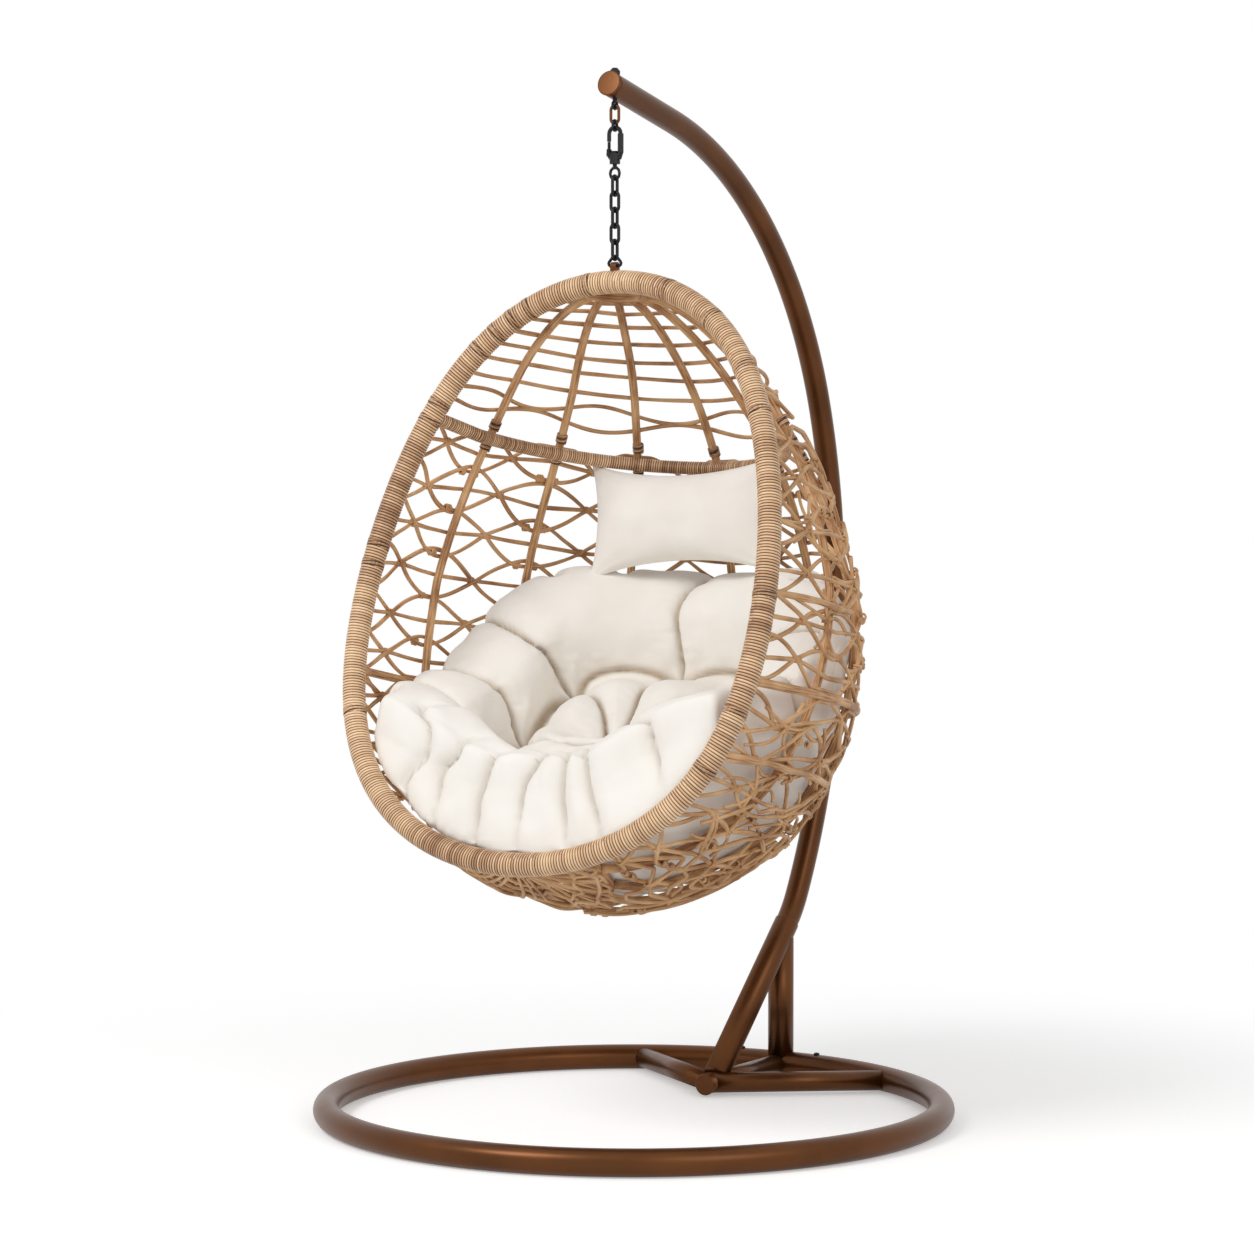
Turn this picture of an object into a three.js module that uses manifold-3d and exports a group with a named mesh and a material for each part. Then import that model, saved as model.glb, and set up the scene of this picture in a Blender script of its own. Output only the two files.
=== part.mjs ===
// Hanging egg chair on a C-shaped stand, in millimetres with +Z up. The seat faces -Y.
// Every piece is built round the centre of the floor ring, and the whole is centred in plan at the end.
import * as THREE from "three";
import Module from "manifold-3d";
import { mergeVertices } from "three/addons/utils/BufferGeometryUtils.js";

const wasm = await Module();
wasm.setup();

// ---- Driving dimensions -------------------------------------------------------------------

const clearance = 0.3;

// Floor ring and the welded foot frame
const ringRadius = 560;
const ringTubeRadius = 24;
const ringBoreRadius = 19;
const ringJointGap = 0.6;
const ringSteps = 36;
const spliceReach = 1.2;
const ringScrewAngle = 8.5;
const frameTubeRadius = 19;
const frameBoreRadius = 16.5;
const frameFront = 262;
const chordNode = 287;
const chordAngle = 29;
const braceRadius = 24;
const braceAngle = 43;
const socketMouthY = 583;
const socketMouthZ = 298;
const braceFootCut = 36;
const postRadius = 25;
const postBoreRadius = 22.8;
const postTop = 272;
const spigotBoreRadius = 20;
const spigotTop = 205;
const postBoltHeights = [140, 175];

// Arm: a straight end in the socket, three bends one after the other, and a straight nose
const armRadius = 22;
const armBoreRadius = 19;
const armInsert = 120;
const armBends = [
  { radius: 220, sweep: 16.7, steps: 3 },
  { radius: 1159, sweep: 49.1, steps: 10 },
  { radius: 792, sweep: 59.1, steps: 11 },
];
const armNose = 226;

// Fasteners
const screwShankRadius = 3;
const screwHeadRadius = 6;
const boltShankRadius = 4;
const boltHeadRadius = 7;
const headHeight = 3.5;
const screwLength = 18;
const boltLength = 26;
const capPlateThickness = 3;
const capPlugLength = 8;

// Hanging gear, all on one vertical line through hangY
const hangY = -66;
const eyeWireRadius = 3;
const eyeHalfWidth = 6.8;
const eyeDrop = 25.96;
const hangerWireRadius = 2.75;
const hangerHalfWidth = 8.25;
const hangerLength = 32.05;
const nutRadius = 9.5;
const nutHeight = 11;
const smallLinkWireRadius = 2.5;
const smallLinkHalfWidth = 7;
const hookWireRadius = 3.5;
const hookBackRadius = 5;
const hookHalfWidth = 12;
const hookHeight = 47;
const barrelRadius = 9.5;
const barrelLength = 19;
const swivelPinRadius = 4;
const swivelHeadRadius = 6.5;
const swivelHeadHeight = 4;
const swivelEyeHalfWidth = 9.5;
const swivelEyeLength = 21;
const gateRadius = 3;
const gateLength = 19;
const gatePinRadius = 1.1;
const gateEarThickness = 1.6;
const chainWireRadius = 3;
const chainInnerLength = 29;
const chainInnerWidth = 10;
const chainLinks = 5;
const shackleHeight = 17.5;
const shackleHalfWidth = 13;
const lugThickness = 12;
const lugRadius = 7;

// Basket, measured from the middle of its rim at the top
const lugHoleHeight = 14.15;
const rimLength = 1076;
const rimTilt = 18.9;
const rimHalfWidth = 409;
const rimTaper = 0.113;
const rimFullness = 0.16;
const rimTubeRadius = 14;
const rimSteps = 40;
const wrapRadius = 21;
const wrapBoreRadius = 15.1;
const wrapSides = 8;
const wrapStart = 1.6;
const wrapEnd = 179.8;
const shellBack = [
  [0, 0],
  [121, -38],
  [274, -163],
  [394, -332],
  [439, -506],
  [471, -705],
  [444, -882],
  [319, -1055],
  [-41, -1132],
  [-349, -1018],
];
const shellRoundness = 1.6;
const shellSquareness = 1.9;
const shellBulge = 0.38;
const strandRadius = 4;
const endShare = 12;
// The straight facets of a cane or of the weave cut this far inside the curve that they follow.
const facetAllowance = 3;
const ribRadius = 8;
const ribCount = 7;
const ribSteps = 18;
const ribSides = 5;
const strandSteps = 14;
const upperHoopRadius = 13;
const hoopRadius = 8;
const hoopSides = 6;
const endHoopRadius = 10;
const crownHoopLevel = 8.5;
const upperHoopLevel = 57.9;
const lowerHoopLevel = 111.4;
const baseHoopLevel = 166;
const strandLevels = [15, 19, 23, 27.5, 32, 36.5, 41, 45.5, 49.5, 52.5];
const weaveColumns = 22;
const weaveRows = 6;
const weaveHole = 0.8;
const weaveBorder = 0.8;
const weaveUpper = [61, lowerHoopLevel - weaveBorder];
const weaveLower = [lowerHoopLevel + weaveBorder, 160];

// Seat cushion: rays from a point above the seat, reaching down to the bowl of the basket, where
// the cushion lies on the ribs
const cushionClearance = 29.8;
const cushionThickness = 128;
const cushionEye = [0, -30, -690];
const cushionAxisTilt = 20;
const cushionReach = { back: 92, side: 84, front: 66 };
const cushionRings = 10;
const cushionSpokes = 28;
const tuftDepth = 30;
const tuftRing = 0.5;
const tuftCount = 6;
const seamWidth = 0.055;

// Head pillow
const pillowWidth = 400;
const pillowHeight = 205;
const pillowThickness = 96;
const pillowCentre = [-5, 256, -431.6];
const pillowLean = 8;
const pillowWaist = 0.1;
const pillowSteps = [10, 6];

// ---- Colours and finishes -----------------------------------------------------------------

const finish = (color, roughness, metalness) => new THREE.MeshStandardMaterial({ color, roughness, metalness });
const bronzePaint = finish(0x5a3823, 0.42, 0.55);
const blackSteel = finish(0x1b1b1c, 0.5, 0.6);
const rattan = finish(0xb98d62, 0.7, 0);
const cotton = finish(0xf1ebe0, 0.95, 0);

// ---- Small tools --------------------------------------------------------------------------

const radians = THREE.MathUtils.degToRad;
const vector = (x, y, z) => new THREE.Vector3(x, y, z);

// A route through given points, one station for each.
class Route extends THREE.Curve {
  constructor(points, closed = false) {
    super();
    this.points = points;
    this.closed = closed;
    this.spans = closed ? points.length : points.length - 1;
  }

  station(index) {
    const count = this.points.length;
    return this.closed
      ? this.points[(index + count) % count]
      : this.points[THREE.MathUtils.clamp(index, 0, count - 1)];
  }

  getPointAt(share, target = vector(0, 0, 0)) {
    return target.copy(this.station(Math.round(share * this.spans)));
  }

  getTangentAt(share, target = vector(0, 0, 0)) {
    const index = Math.round(share * this.spans);
    return target.copy(this.station(index + 1)).sub(this.station(index - 1)).normalize();
  }
}

// A regular section with flats at the given radius, and a hole with flats at the bore.
function section(radius, sides, bore = 0, boreSides = 6) {
  const corners = (size, count) =>
    Array.from({ length: count }, (_, i) => {
      const angle = ((i + 0.5) / count) * 2 * Math.PI;
      const reach = size / Math.cos(Math.PI / count);
      return new THREE.Vector2(reach * Math.cos(angle), reach * Math.sin(angle));
    });
  const shape = new THREE.Shape(corners(radius, sides));
  if (bore) shape.holes.push(new THREE.Path(corners(bore, boreSides)));
  return shape;
}

function tube(points, radius, sides, bore, boreSides) {
  return new THREE.ExtrudeGeometry(section(radius, sides, bore, boreSides), {
    steps: points.length - 1,
    extrudePath: new Route(points),
    bevelEnabled: false,
  });
}

// A cane, whose corners lie at its radius.
const cane = (points, radius, sides) => tube(points, radius * Math.cos(Math.PI / sides), sides);

function wireLoop(points, radius, sides = 6) {
  return new THREE.TubeGeometry(new Route(points, true), points.length, radius, sides, true);
}

// A turned piece: its profile is [radius, height] pairs from the axis, and it stands along +Z.
function turned(profile, segments = 8) {
  const outline = profile.map(([radius, height]) => new THREE.Vector2(radius, height));
  return new THREE.LatheGeometry(outline, segments).rotateX(Math.PI / 2);
}

function solidOf(geometry) {
  const bare = new THREE.BufferGeometry().setAttribute("position", geometry.getAttribute("position"));
  bare.setIndex(geometry.index);
  const merged = mergeVertices(bare, 1e-4);
  const triVerts = new Uint32Array(merged.index.array);
  const vertProperties = merged.getAttribute("position").array;
  return new wasm.Manifold(new wasm.Mesh({ numProp: 3, vertProperties, triVerts }));
}

function geometryOf(solid) {
  const mesh = solid.getMesh();
  const geometry = new THREE.BufferGeometry();
  geometry.setAttribute("position", new THREE.BufferAttribute(mesh.vertProperties, 3));
  geometry.setIndex(new THREE.BufferAttribute(mesh.triVerts, 1));
  geometry.computeVertexNormals();
  return geometry;
}

const joined = (...pieces) => geometryOf(pieces.map(solidOf).reduce((whole, piece) => whole.add(piece)));
const cut = (piece, ...tools) =>
  geometryOf(tools.map(solidOf).reduce((left, tool) => left.subtract(tool), solidOf(piece)));

// Joins a grid of points, given as rows, into triangles: each row is a ring when closed.
function skin(rows, closed) {
  const triangles = [];
  for (let row = 0; row + 1 < rows.length; row++) {
    const width = rows[row].length;
    for (let column = 0; column < (closed ? width : width - 1); column++) {
      const next = (column + 1) % width;
      const [a, b] = [rows[row][column], rows[row][next]];
      const [c, d] = [rows[row + 1][next], rows[row + 1][column]];
      triangles.push([a, b, c], [a, c, d]);
    }
  }
  return triangles;
}

function geometryFrom(triangles) {
  const positions = triangles.flat().flatMap((point) => [point.x, point.y, point.z]);
  const geometry = new THREE.BufferGeometry();
  geometry.setAttribute("position", new THREE.Float32BufferAttribute(positions, 3));
  const welded = mergeVertices(geometry, 1e-4);
  welded.computeVertexNormals();
  return welded;
}

function place(group, name, geometry, material) {
  const mesh = new THREE.Mesh(geometry, material);
  mesh.name = name;
  group.add(mesh);
}

// ---- Stand ---------------------------------------------------------------------------------

const ringPoint = (degrees) => {
  const angle = radians(degrees);
  return vector(ringRadius * Math.cos(angle), ringRadius * Math.sin(angle), ringTubeRadius);
};

function ringArc(from, to, steps) {
  return Array.from({ length: steps + 1 }, (_, i) => ringPoint(from + ((to - from) * i) / steps));
}

const braceDirection = vector(0, Math.cos(radians(braceAngle)), Math.sin(radians(braceAngle)));
const socketMouth = vector(0, socketMouthY, socketMouthZ);

// The middle line of the arm, from inside the socket to its nose.
function armLine() {
  let heading = radians(braceAngle);
  const at = socketMouth.clone().addScaledVector(braceDirection, -armInsert);
  const points = [at.clone(), socketMouth.clone()];
  at.copy(socketMouth);
  for (const { radius, sweep, steps } of armBends) {
    const centre = vector(0, at.y - radius * Math.sin(heading), at.z + radius * Math.cos(heading));
    for (let i = 1; i <= steps; i++) {
      const angle = heading + (radians(sweep) * i) / steps;
      points.push(vector(0, centre.y + radius * Math.sin(angle), centre.z - radius * Math.cos(angle)));
    }
    heading += radians(sweep);
    at.copy(points[points.length - 1]);
  }
  points.push(at.add(vector(0, armNose * Math.cos(heading), armNose * Math.sin(heading))));
  return points;
}

// The height of the arm's middle line at a place along y, on its straight nose.
function armHeightAt(y) {
  const [before, end] = armLine().slice(-2);
  return THREE.MathUtils.mapLinear(y, before.y, end.y, before.z, end.z);
}

const eyeTopZ = armHeightAt(hangY) - eyeDrop;
const eyeBottomZ = eyeTopZ - 2 * eyeHalfWidth;

// A cap whose plate covers a tube's end and whose plug stands inside it; it faces along +Z.
function endCap(plateRadius, plugRadius) {
  return turned([
    [0, -capPlugLength],
    [plugRadius, -capPlugLength],
    [plugRadius, clearance],
    [plateRadius, clearance],
    [plateRadius, capPlateThickness - 1],
    [plateRadius - 1, capPlateThickness],
    [0, capPlateThickness],
  ], 16);
}

// A screw or bolt with its head's underside at height 0 and its shank below.
function fastener(shankRadius, headRadius, length) {
  return turned([
    [0, -length],
    [shankRadius, -length],
    [shankRadius, 0],
    [headRadius, 0],
    [headRadius, headHeight / 2],
    [headRadius / 2, headHeight],
    [0, headHeight],
  ]);
}

const bar = (from, to, radius, sides, bore, boreSides) => tube([from, to], radius, sides, bore, boreSides);

function buildStand(group) {
  const frameZ = ringTubeRadius;
  const halfGap = THREE.MathUtils.radToDeg(ringJointGap / 2 / ringRadius);
  const facet = 360 / ringSteps;
  const ringEnvelope = tube(
    ringArc(90 - 5 * facet, 90 + 5 * facet, 10),
    ringTubeRadius + clearance,
    12,
  );

  // Floor ring, its inner splice under the post and the two screws that hold them together
  const spliceEnd = (side) =>
    ringPoint(90 + side * facet).lerp(ringPoint(90 + 2 * side * facet), spliceReach - 1);
  const ringTop = 2 * ringTubeRadius;
  const screwSpots = [-1, 1].map((side) => ringPoint(90 - side * ringScrewAngle));
  const screwHole = (spot, bottom) =>
    bar(
      vector(spot.x, spot.y, bottom),
      vector(spot.x, spot.y, ringTop + clearance + 1),
      screwShankRadius + clearance,
      8,
    );
  const ring = tube(ringArc(90 + halfGap, 450 - halfGap, ringSteps), ringTubeRadius, 12, ringBoreRadius, 6);
  place(group, "base_ring", cut(ring, ...screwSpots.map((spot) => screwHole(spot, ringTubeRadius))), bronzePaint);
  const splice = tube(
    [spliceEnd(-1), ...ringArc(90 - facet, 90 + facet, 2), spliceEnd(1)],
    ringBoreRadius - clearance - 0.5,
    6,
  );
  const holeBottom = ringTop - screwLength - clearance;
  place(group, "ring_splice", cut(splice, ...screwSpots.map((spot) => screwHole(spot, holeBottom))), bronzePaint);
  ["ring_screw_left", "ring_screw_right"].forEach((name, i) => {
    const screw = fastener(screwShankRadius, screwHeadRadius, screwLength);
    screw.translate(screwSpots[i].x, screwSpots[i].y, ringTop + clearance);
    place(group, name, screw, blackSteel);
  });

  // Stretcher from the ring towards the front, with its end cap
  const front = vector(0, frameFront, frameZ);
  const back = vector(0, ringRadius, frameZ);
  const stretcherEnvelope = bar(front.clone().setY(0), back, frameTubeRadius + clearance, 12);
  const stretcher = bar(front, back, frameTubeRadius, 12, frameBoreRadius, 8);
  place(group, "stretcher", cut(stretcher, ringEnvelope), bronzePaint);
  const stretcherCap = endCap(frameTubeRadius + 1.5, frameBoreRadius - clearance - 0.5);
  stretcherCap.rotateX(Math.PI / 2).translate(0, frameFront, frameZ);
  place(group, "stretcher_cap", stretcherCap, bronzePaint);

  // Two chords from the stretcher out to the ring
  const chordEnvelopes = [];
  [["chord_left", -1], ["chord_right", 1]].forEach(([name, side]) => {
    const start = vector(0, chordNode, frameZ);
    const end = ringPoint(90 - side * chordAngle);
    const chord = bar(start, end, frameTubeRadius, 12, frameBoreRadius, 8);
    place(group, name, cut(chord, ringEnvelope, stretcherEnvelope), bronzePaint);
    chordEnvelopes.push(bar(start, end, frameTubeRadius + clearance, 12));
  });

  // Brace, whose upper end is the socket for the arm
  const footDrop = (socketMouthZ - frameZ) / braceDirection.z;
  const braceFoot = socketMouth.clone().addScaledVector(braceDirection, -footDrop);
  const braceBore = armRadius + clearance;
  const floorBlock = new THREE.BoxGeometry(200, 400, 2 * braceFootCut).translate(0, braceFoot.y, 0);
  const brace = bar(braceFoot, socketMouth, braceRadius, 12, braceBore, 12);
  place(group, "brace", cut(brace, floorBlock, stretcherEnvelope, ...chordEnvelopes), bronzePaint);

  // Post on the ring, over a spigot that is welded to the ring
  const braceEnvelope = bar(braceFoot, socketMouth, braceRadius + clearance, 12);
  const postFoot = vector(0, ringRadius, ringTubeRadius);
  const boltHoles = postBoltHeights.map((height) =>
    bar(
      vector(0, ringRadius, height),
      vector(0, ringRadius + postRadius + 5, height),
      boltShankRadius + clearance,
      8,
    ),
  );
  const post = bar(postFoot, postFoot.clone().setZ(postTop), postRadius, 12, postBoreRadius, 12);
  place(group, "post", cut(post, ringEnvelope, stretcherEnvelope, braceEnvelope, ...boltHoles), bronzePaint);
  const spigotRadius = postBoreRadius - clearance;
  const spigot = bar(postFoot, postFoot.clone().setZ(spigotTop), spigotRadius, 12, spigotBoreRadius, 8);
  place(group, "post_spigot", cut(spigot, ringEnvelope, stretcherEnvelope, ...boltHoles), bronzePaint);
  ["post_bolt_lower", "post_bolt_upper"].forEach((name, i) => {
    const bolt = fastener(boltShankRadius, boltHeadRadius, boltLength).rotateX(-Math.PI / 2);
    bolt.translate(0, ringRadius + postRadius + clearance, postBoltHeights[i]);
    place(group, name, bolt, blackSteel);
  });
}

function buildArm(group) {
  const points = armLine();
  const nose = points[points.length - 1];
  const noseDirection = nose.clone().sub(points[points.length - 2]).normalize();
  const armAtHang = nose.clone().addScaledVector(noseDirection, -(hangY - nose.y) / -noseDirection.y);
  const shankHole = bar(
    vector(0, hangY, armAtHang.z - 3 * armRadius),
    vector(0, hangY, armAtHang.z + 3 * armRadius),
    boltShankRadius + clearance,
    8,
  );
  place(group, "arm", cut(tube(points, armRadius, 12, armBoreRadius, 6), shankHole), bronzePaint);
  const armCap = endCap(armRadius + 1, armBoreRadius - clearance - 0.5);
  armCap.applyQuaternion(new THREE.Quaternion().setFromUnitVectors(vector(0, 0, 1), noseDirection));
  armCap.translate(nose.x, nose.y, nose.z);
  place(group, "arm_cap", armCap, bronzePaint);

  // Eye bolt down through the arm, and its domed nut on top
  const armTop = armAtHang.z + armRadius / Math.abs(noseDirection.y);
  const shank = turned([
    [0, eyeTopZ],
    [boltShankRadius, eyeTopZ],
    [boltShankRadius, armTop + nutHeight / 2],
    [0, armTop + nutHeight / 2],
  ]);
  shank.translate(0, hangY, 0);
  const eye = wireLoop(longLoop(eyeHalfWidth, eyeBottomZ, eyeTopZ, "y"), eyeWireRadius);
  place(group, "eye_bolt", joined(eye, shank), blackSteel);
  const nutBore = boltShankRadius + clearance;
  const nut = turned([
    [nutBore, -nutHeight / 2],
    [nutRadius, -nutHeight / 2],
    [nutRadius, nutHeight / 2],
    [nutRadius / 2, nutHeight],
    [0, nutHeight],
    [0, nutHeight / 2 + clearance],
    [nutBore, nutHeight / 2 + clearance],
    [nutBore, -nutHeight / 2],
  ], 12);
  nut.translate(0, hangY, armTop);
  const armEnvelope = bar(points[points.length - 2], nose, armRadius + clearance, 12);
  place(group, "hanger_nut", cut(nut, armEnvelope), blackSteel);
}

// ---- Hanging gear --------------------------------------------------------------------------

// A long loop on the hanging line from one wire's middle to the other's, wide along x or y.
function longLoop(halfWidth, bottom, top, wideAlong, bend = 6) {
  const points = [];
  const across = (offset, z) =>
    wideAlong === "x" ? vector(offset, hangY, z) : vector(0, hangY + offset, z);
  for (const [centre, start] of [[top - halfWidth, 90], [bottom + halfWidth, -90]])
    for (let i = 0; i <= bend; i++) {
      const angle = radians(start + 90 - (180 * i) / bend);
      points.push(across(halfWidth * Math.cos(angle), centre + halfWidth * Math.sin(angle)));
    }
  const crown = bend / 2;
  return [...points.slice(crown), ...points.slice(0, crown)];
}

const hangerTopZ = eyeBottomZ + eyeWireRadius + hangerWireRadius + clearance;
const hangerBottomZ = hangerTopZ - hangerLength;
const smallLinkTop = hangerBottomZ + hangerWireRadius + smallLinkWireRadius + clearance;
const hookTop = hangerBottomZ - hangerWireRadius - hookWireRadius - clearance;
const smallLinkBottom = hookTop - hookWireRadius - smallLinkWireRadius - clearance;
const barrelTop = hookTop - hookHeight;
const barrelBottom = barrelTop - barrelLength;
const gateFoot = barrelTop + 2;
const swivelEyeTop = barrelBottom - clearance - chainWireRadius - 3;
const swivelEyeBottom = swivelEyeTop - swivelEyeLength;
const crossing = 2 * chainWireRadius + clearance;
const linkLength = chainInnerLength + 2 * chainWireRadius;
const linkTop = (index) => swivelEyeBottom + crossing - index * (linkLength - crossing);
const shackleCrown = linkTop(chainLinks);
const lugBarZ = shackleCrown - shackleHeight;
const lugSeat = lugBarZ - lugHoleHeight;
const rimTopZ = lugSeat - clearance - rimTubeRadius;

function buildHangingGear(group) {
  const hanger = longLoop(hangerHalfWidth, hangerBottomZ, hangerTopZ, "x");
  place(group, "hanger_shackle", wireLoop(hanger, hangerWireRadius), bronzePaint);
  const smallLink = longLoop(smallLinkHalfWidth, smallLinkBottom, smallLinkTop, "y");
  place(group, "small_link", wireLoop(smallLink, smallLinkWireRadius), blackSteel);

  // Snap hook: a thick back over the top, and a barrel at the foot with a bore for the swivel
  const bowCentre = hookTop - hookHalfWidth;
  const bow = Array.from({ length: 9 }, (_, i) => {
    const angle = radians(180 - (180 * i) / 8);
    return vector(hookHalfWidth * Math.cos(angle), hangY, bowCentre + hookHalfWidth * Math.sin(angle));
  });
  const gateTop = gateFoot + gateLength;
  const gatePivot = gateFoot + gateRadius;
  const earInside = gateRadius + clearance;
  const barrelMiddle = (barrelTop + barrelBottom) / 2;
  const leg = (side, height) => vector(side * hookHalfWidth, hangY, height);
  const upperPath = [leg(-1, gateTop + 2 * clearance), ...bow, leg(1, barrelTop + 4), vector(barrelRadius - 2, hangY, barrelMiddle)];
  const lowerPath = [leg(-1, gateFoot - clearance), leg(-1, barrelTop - 4), vector(2 - barrelRadius, hangY, barrelMiddle)];
  const back = tube([leg(1, bowCentre), leg(1, barrelTop + 2), vector(barrelRadius - 2, hangY, barrelMiddle)], hookBackRadius, 8);
  const barrelBore = swivelPinRadius + clearance;
  const barrel = turned([
    [barrelBore, barrelBottom],
    [barrelRadius, barrelBottom],
    [barrelRadius, barrelTop],
    [barrelBore, barrelTop],
    [barrelBore, barrelBottom],
  ], 12).translate(0, hangY, 0);
  const pinWay = bar(vector(0, hangY, barrelBottom - 5), vector(0, hangY, barrelTop), barrelBore, 8);
  const headWay = bar(
    vector(0, hangY, barrelTop),
    vector(0, hangY, barrelTop + swivelHeadHeight + 2),
    swivelHeadRadius + clearance,
    8,
  );
  const collar = bar(leg(-1, barrelTop - 4), leg(-1, gateFoot - clearance), earInside + gateEarThickness, 10);
  const ears = [-1, 1].map((side) =>
    new THREE.BoxGeometry(2 * gateRadius - 1, gateEarThickness, 2 * gateRadius + 2).translate(
      -hookHalfWidth,
      hangY + side * (earInside + gateEarThickness / 2),
      gatePivot - 1,
    ),
  );
  const pinBar = (radius, reach) =>
    bar(
      vector(-hookHalfWidth, hangY - reach, gatePivot),
      vector(-hookHalfWidth, hangY + reach, gatePivot),
      radius,
      8,
    );
  const earOutside = earInside + gateEarThickness;
  const pinHole = pinBar(gatePinRadius + clearance, earOutside + 1);
  const hookBody = joined(
    barrel,
    tube(upperPath, hookWireRadius, 8),
    tube(lowerPath, hookWireRadius, 8),
    back,
    collar,
    ...ears,
  );
  place(group, "snap_hook", cut(hookBody, pinWay, headWay, pinHole), blackSteel);
  place(group, "gate_pin", pinBar(gatePinRadius, earOutside + 0.5), blackSteel);
  const gate = turned([
    [0, gateFoot],
    [gateRadius * Math.SQRT1_2, gateFoot + gateRadius * (1 - Math.SQRT1_2)],
    [gateRadius, gatePivot],
    [gateRadius, gateTop - 1],
    [gateRadius - 1, gateTop],
    [0, gateTop],
  ]).translate(-hookHalfWidth, hangY, 0);
  place(group, "hook_gate", cut(gate, pinHole), blackSteel);

  // Swivel eye: its pin turns in the barrel and its head keeps it there
  const pin = turned([
    [0, swivelEyeTop],
    [swivelPinRadius, swivelEyeTop],
    [swivelPinRadius, barrelTop + clearance],
    [swivelHeadRadius, barrelTop + clearance],
    [swivelHeadRadius, barrelTop + clearance + swivelHeadHeight],
    [0, barrelTop + clearance + swivelHeadHeight],
  ]).translate(0, hangY, 0);
  const swivelLoop = longLoop(swivelEyeHalfWidth, swivelEyeBottom, swivelEyeTop, "x");
  place(group, "swivel_eye", joined(wireLoop(swivelLoop, chainWireRadius), pin), blackSteel);

  // Chain links, turned a quarter from one to the next
  for (let index = 0; index < chainLinks; index++) {
    const wide = (chainInnerWidth + 2 * chainWireRadius) / 2;
    const top = linkTop(index);
    const link = longLoop(wide, top - linkLength, top, index % 2 ? "x" : "y");
    place(group, `chain_link_${index + 1}`, wireLoop(link, chainWireRadius), blackSteel);
  }
  place(group, "basket_shackle", wireLoop(shackleLoop(shackleCrown), chainWireRadius), blackSteel);
}

// A three-cornered loop with its point up and a straight bar at the bottom.
function shackleLoop(crown) {
  const cornerRadius = 4.5;
  const crownRadius = 6.5;
  const bottom = crown - shackleHeight;
  const points = [];
  const corner = (radius, x, z, from, to, steps) => {
    for (let i = 0; i <= steps; i++) {
      const angle = radians(from + ((to - from) * i) / steps);
      points.push(vector(x + radius * Math.cos(angle), hangY, z + radius * Math.sin(angle)));
    }
  };
  corner(crownRadius, 0, crown - crownRadius, 90, 40, 2);
  corner(cornerRadius, shackleHalfWidth - cornerRadius, bottom + cornerRadius, 40, -90, 4);
  corner(cornerRadius, cornerRadius - shackleHalfWidth, bottom + cornerRadius, -90, -220, 4);
  corner(crownRadius, 0, crown - crownRadius, 140, 115, 1);
  return points;
}

// ---- Basket --------------------------------------------------------------------------------

const tilt = radians(rimTilt);
const backLine = new THREE.CatmullRomCurve3(
  shellBack.map(([y, z]) => vector(0, hangY + y, rimTopZ + z)),
  false,
  "catmullrom",
);

// The rim at a level from 0 at the top to 180 at the bottom: half its width there, and its middle.
function rimAt(level) {
  const angle = radians(level);
  const along = (rimLength / 2) * (1 - Math.cos(angle));
  const shape = 1 - rimTaper * Math.cos(angle) + rimFullness * Math.cos(angle) ** 2;
  return {
    half: rimHalfWidth * Math.sin(angle) * shape,
    middle: vector(0, hangY - along * Math.sin(tilt), rimTopZ - along * Math.cos(tilt)),
  };
}

// A point of the shell: level as above, turn from 0 at the right of the rim to 180 at the left.
function shellPoint(level, turn) {
  const { half, middle } = rimAt(level);
  const power = 2 / THREE.MathUtils.lerp(shellRoundness, shellSquareness, Math.min(level / 70, 1));
  const bulge = shellBulge * THREE.MathUtils.clamp((level - 45) / 45, 0, 1);
  const cosine = Math.cos(radians(turn));
  const depth = Math.max(Math.sin(radians(turn)), 0) ** power;
  const width = Math.sign(cosine) * Math.abs(cosine) ** power * (1 + bulge * depth);
  const point = middle.lerp(backLine.getPoint(level / 180), depth);
  return point.setX(half * width);
}

// The outward direction of the shell there.
function shellNormal(level, turn) {
  const step = 0.5;
  const [low, high] = [Math.max(turn - step, 0), Math.min(turn + step, 180)];
  const across = shellPoint(level, high).sub(shellPoint(level, low));
  const down = shellPoint(Math.min(level + step, 180), turn).sub(shellPoint(Math.max(level - step, 0), turn));
  return across.cross(down).normalize().negate();
}

// The turn at which a level's line has run a given share of its length from right to left.
const turnTables = new Map();
function turnAt(level, share) {
  const parts = 120;
  if (!turnTables.has(level)) {
    const lengths = [0];
    for (let i = 1; i <= parts; i++) {
      const step = shellPoint(level, (180 * i) / parts).distanceTo(shellPoint(level, (180 * (i - 1)) / parts));
      lengths.push(lengths[i - 1] + step);
    }
    turnTables.set(level, lengths);
  }
  const lengths = turnTables.get(level);
  const wanted = share * lengths[parts];
  const after = Math.max(lengths.findIndex((length) => length >= wanted), 1);
  const within = (wanted - lengths[after - 1]) / (lengths[after] - lengths[after - 1]);
  return (180 * (after - 1 + within)) / parts;
}

const onShell = (level, share, outward) => {
  const turn = turnAt(level, share);
  return shellPoint(level, turn).addScaledVector(shellNormal(level, turn), outward);
};

// A line across the shell at one level, from the middle of the rim on one side to the other side.
function acrossShell(level, outward, steps) {
  return Array.from({ length: steps + 1 }, (_, i) => {
    const share = i / steps;
    const edge = Math.min(share, 1 - share);
    return onShell(level, share, outward * Math.min(edge * endShare, 1));
  });
}

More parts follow.
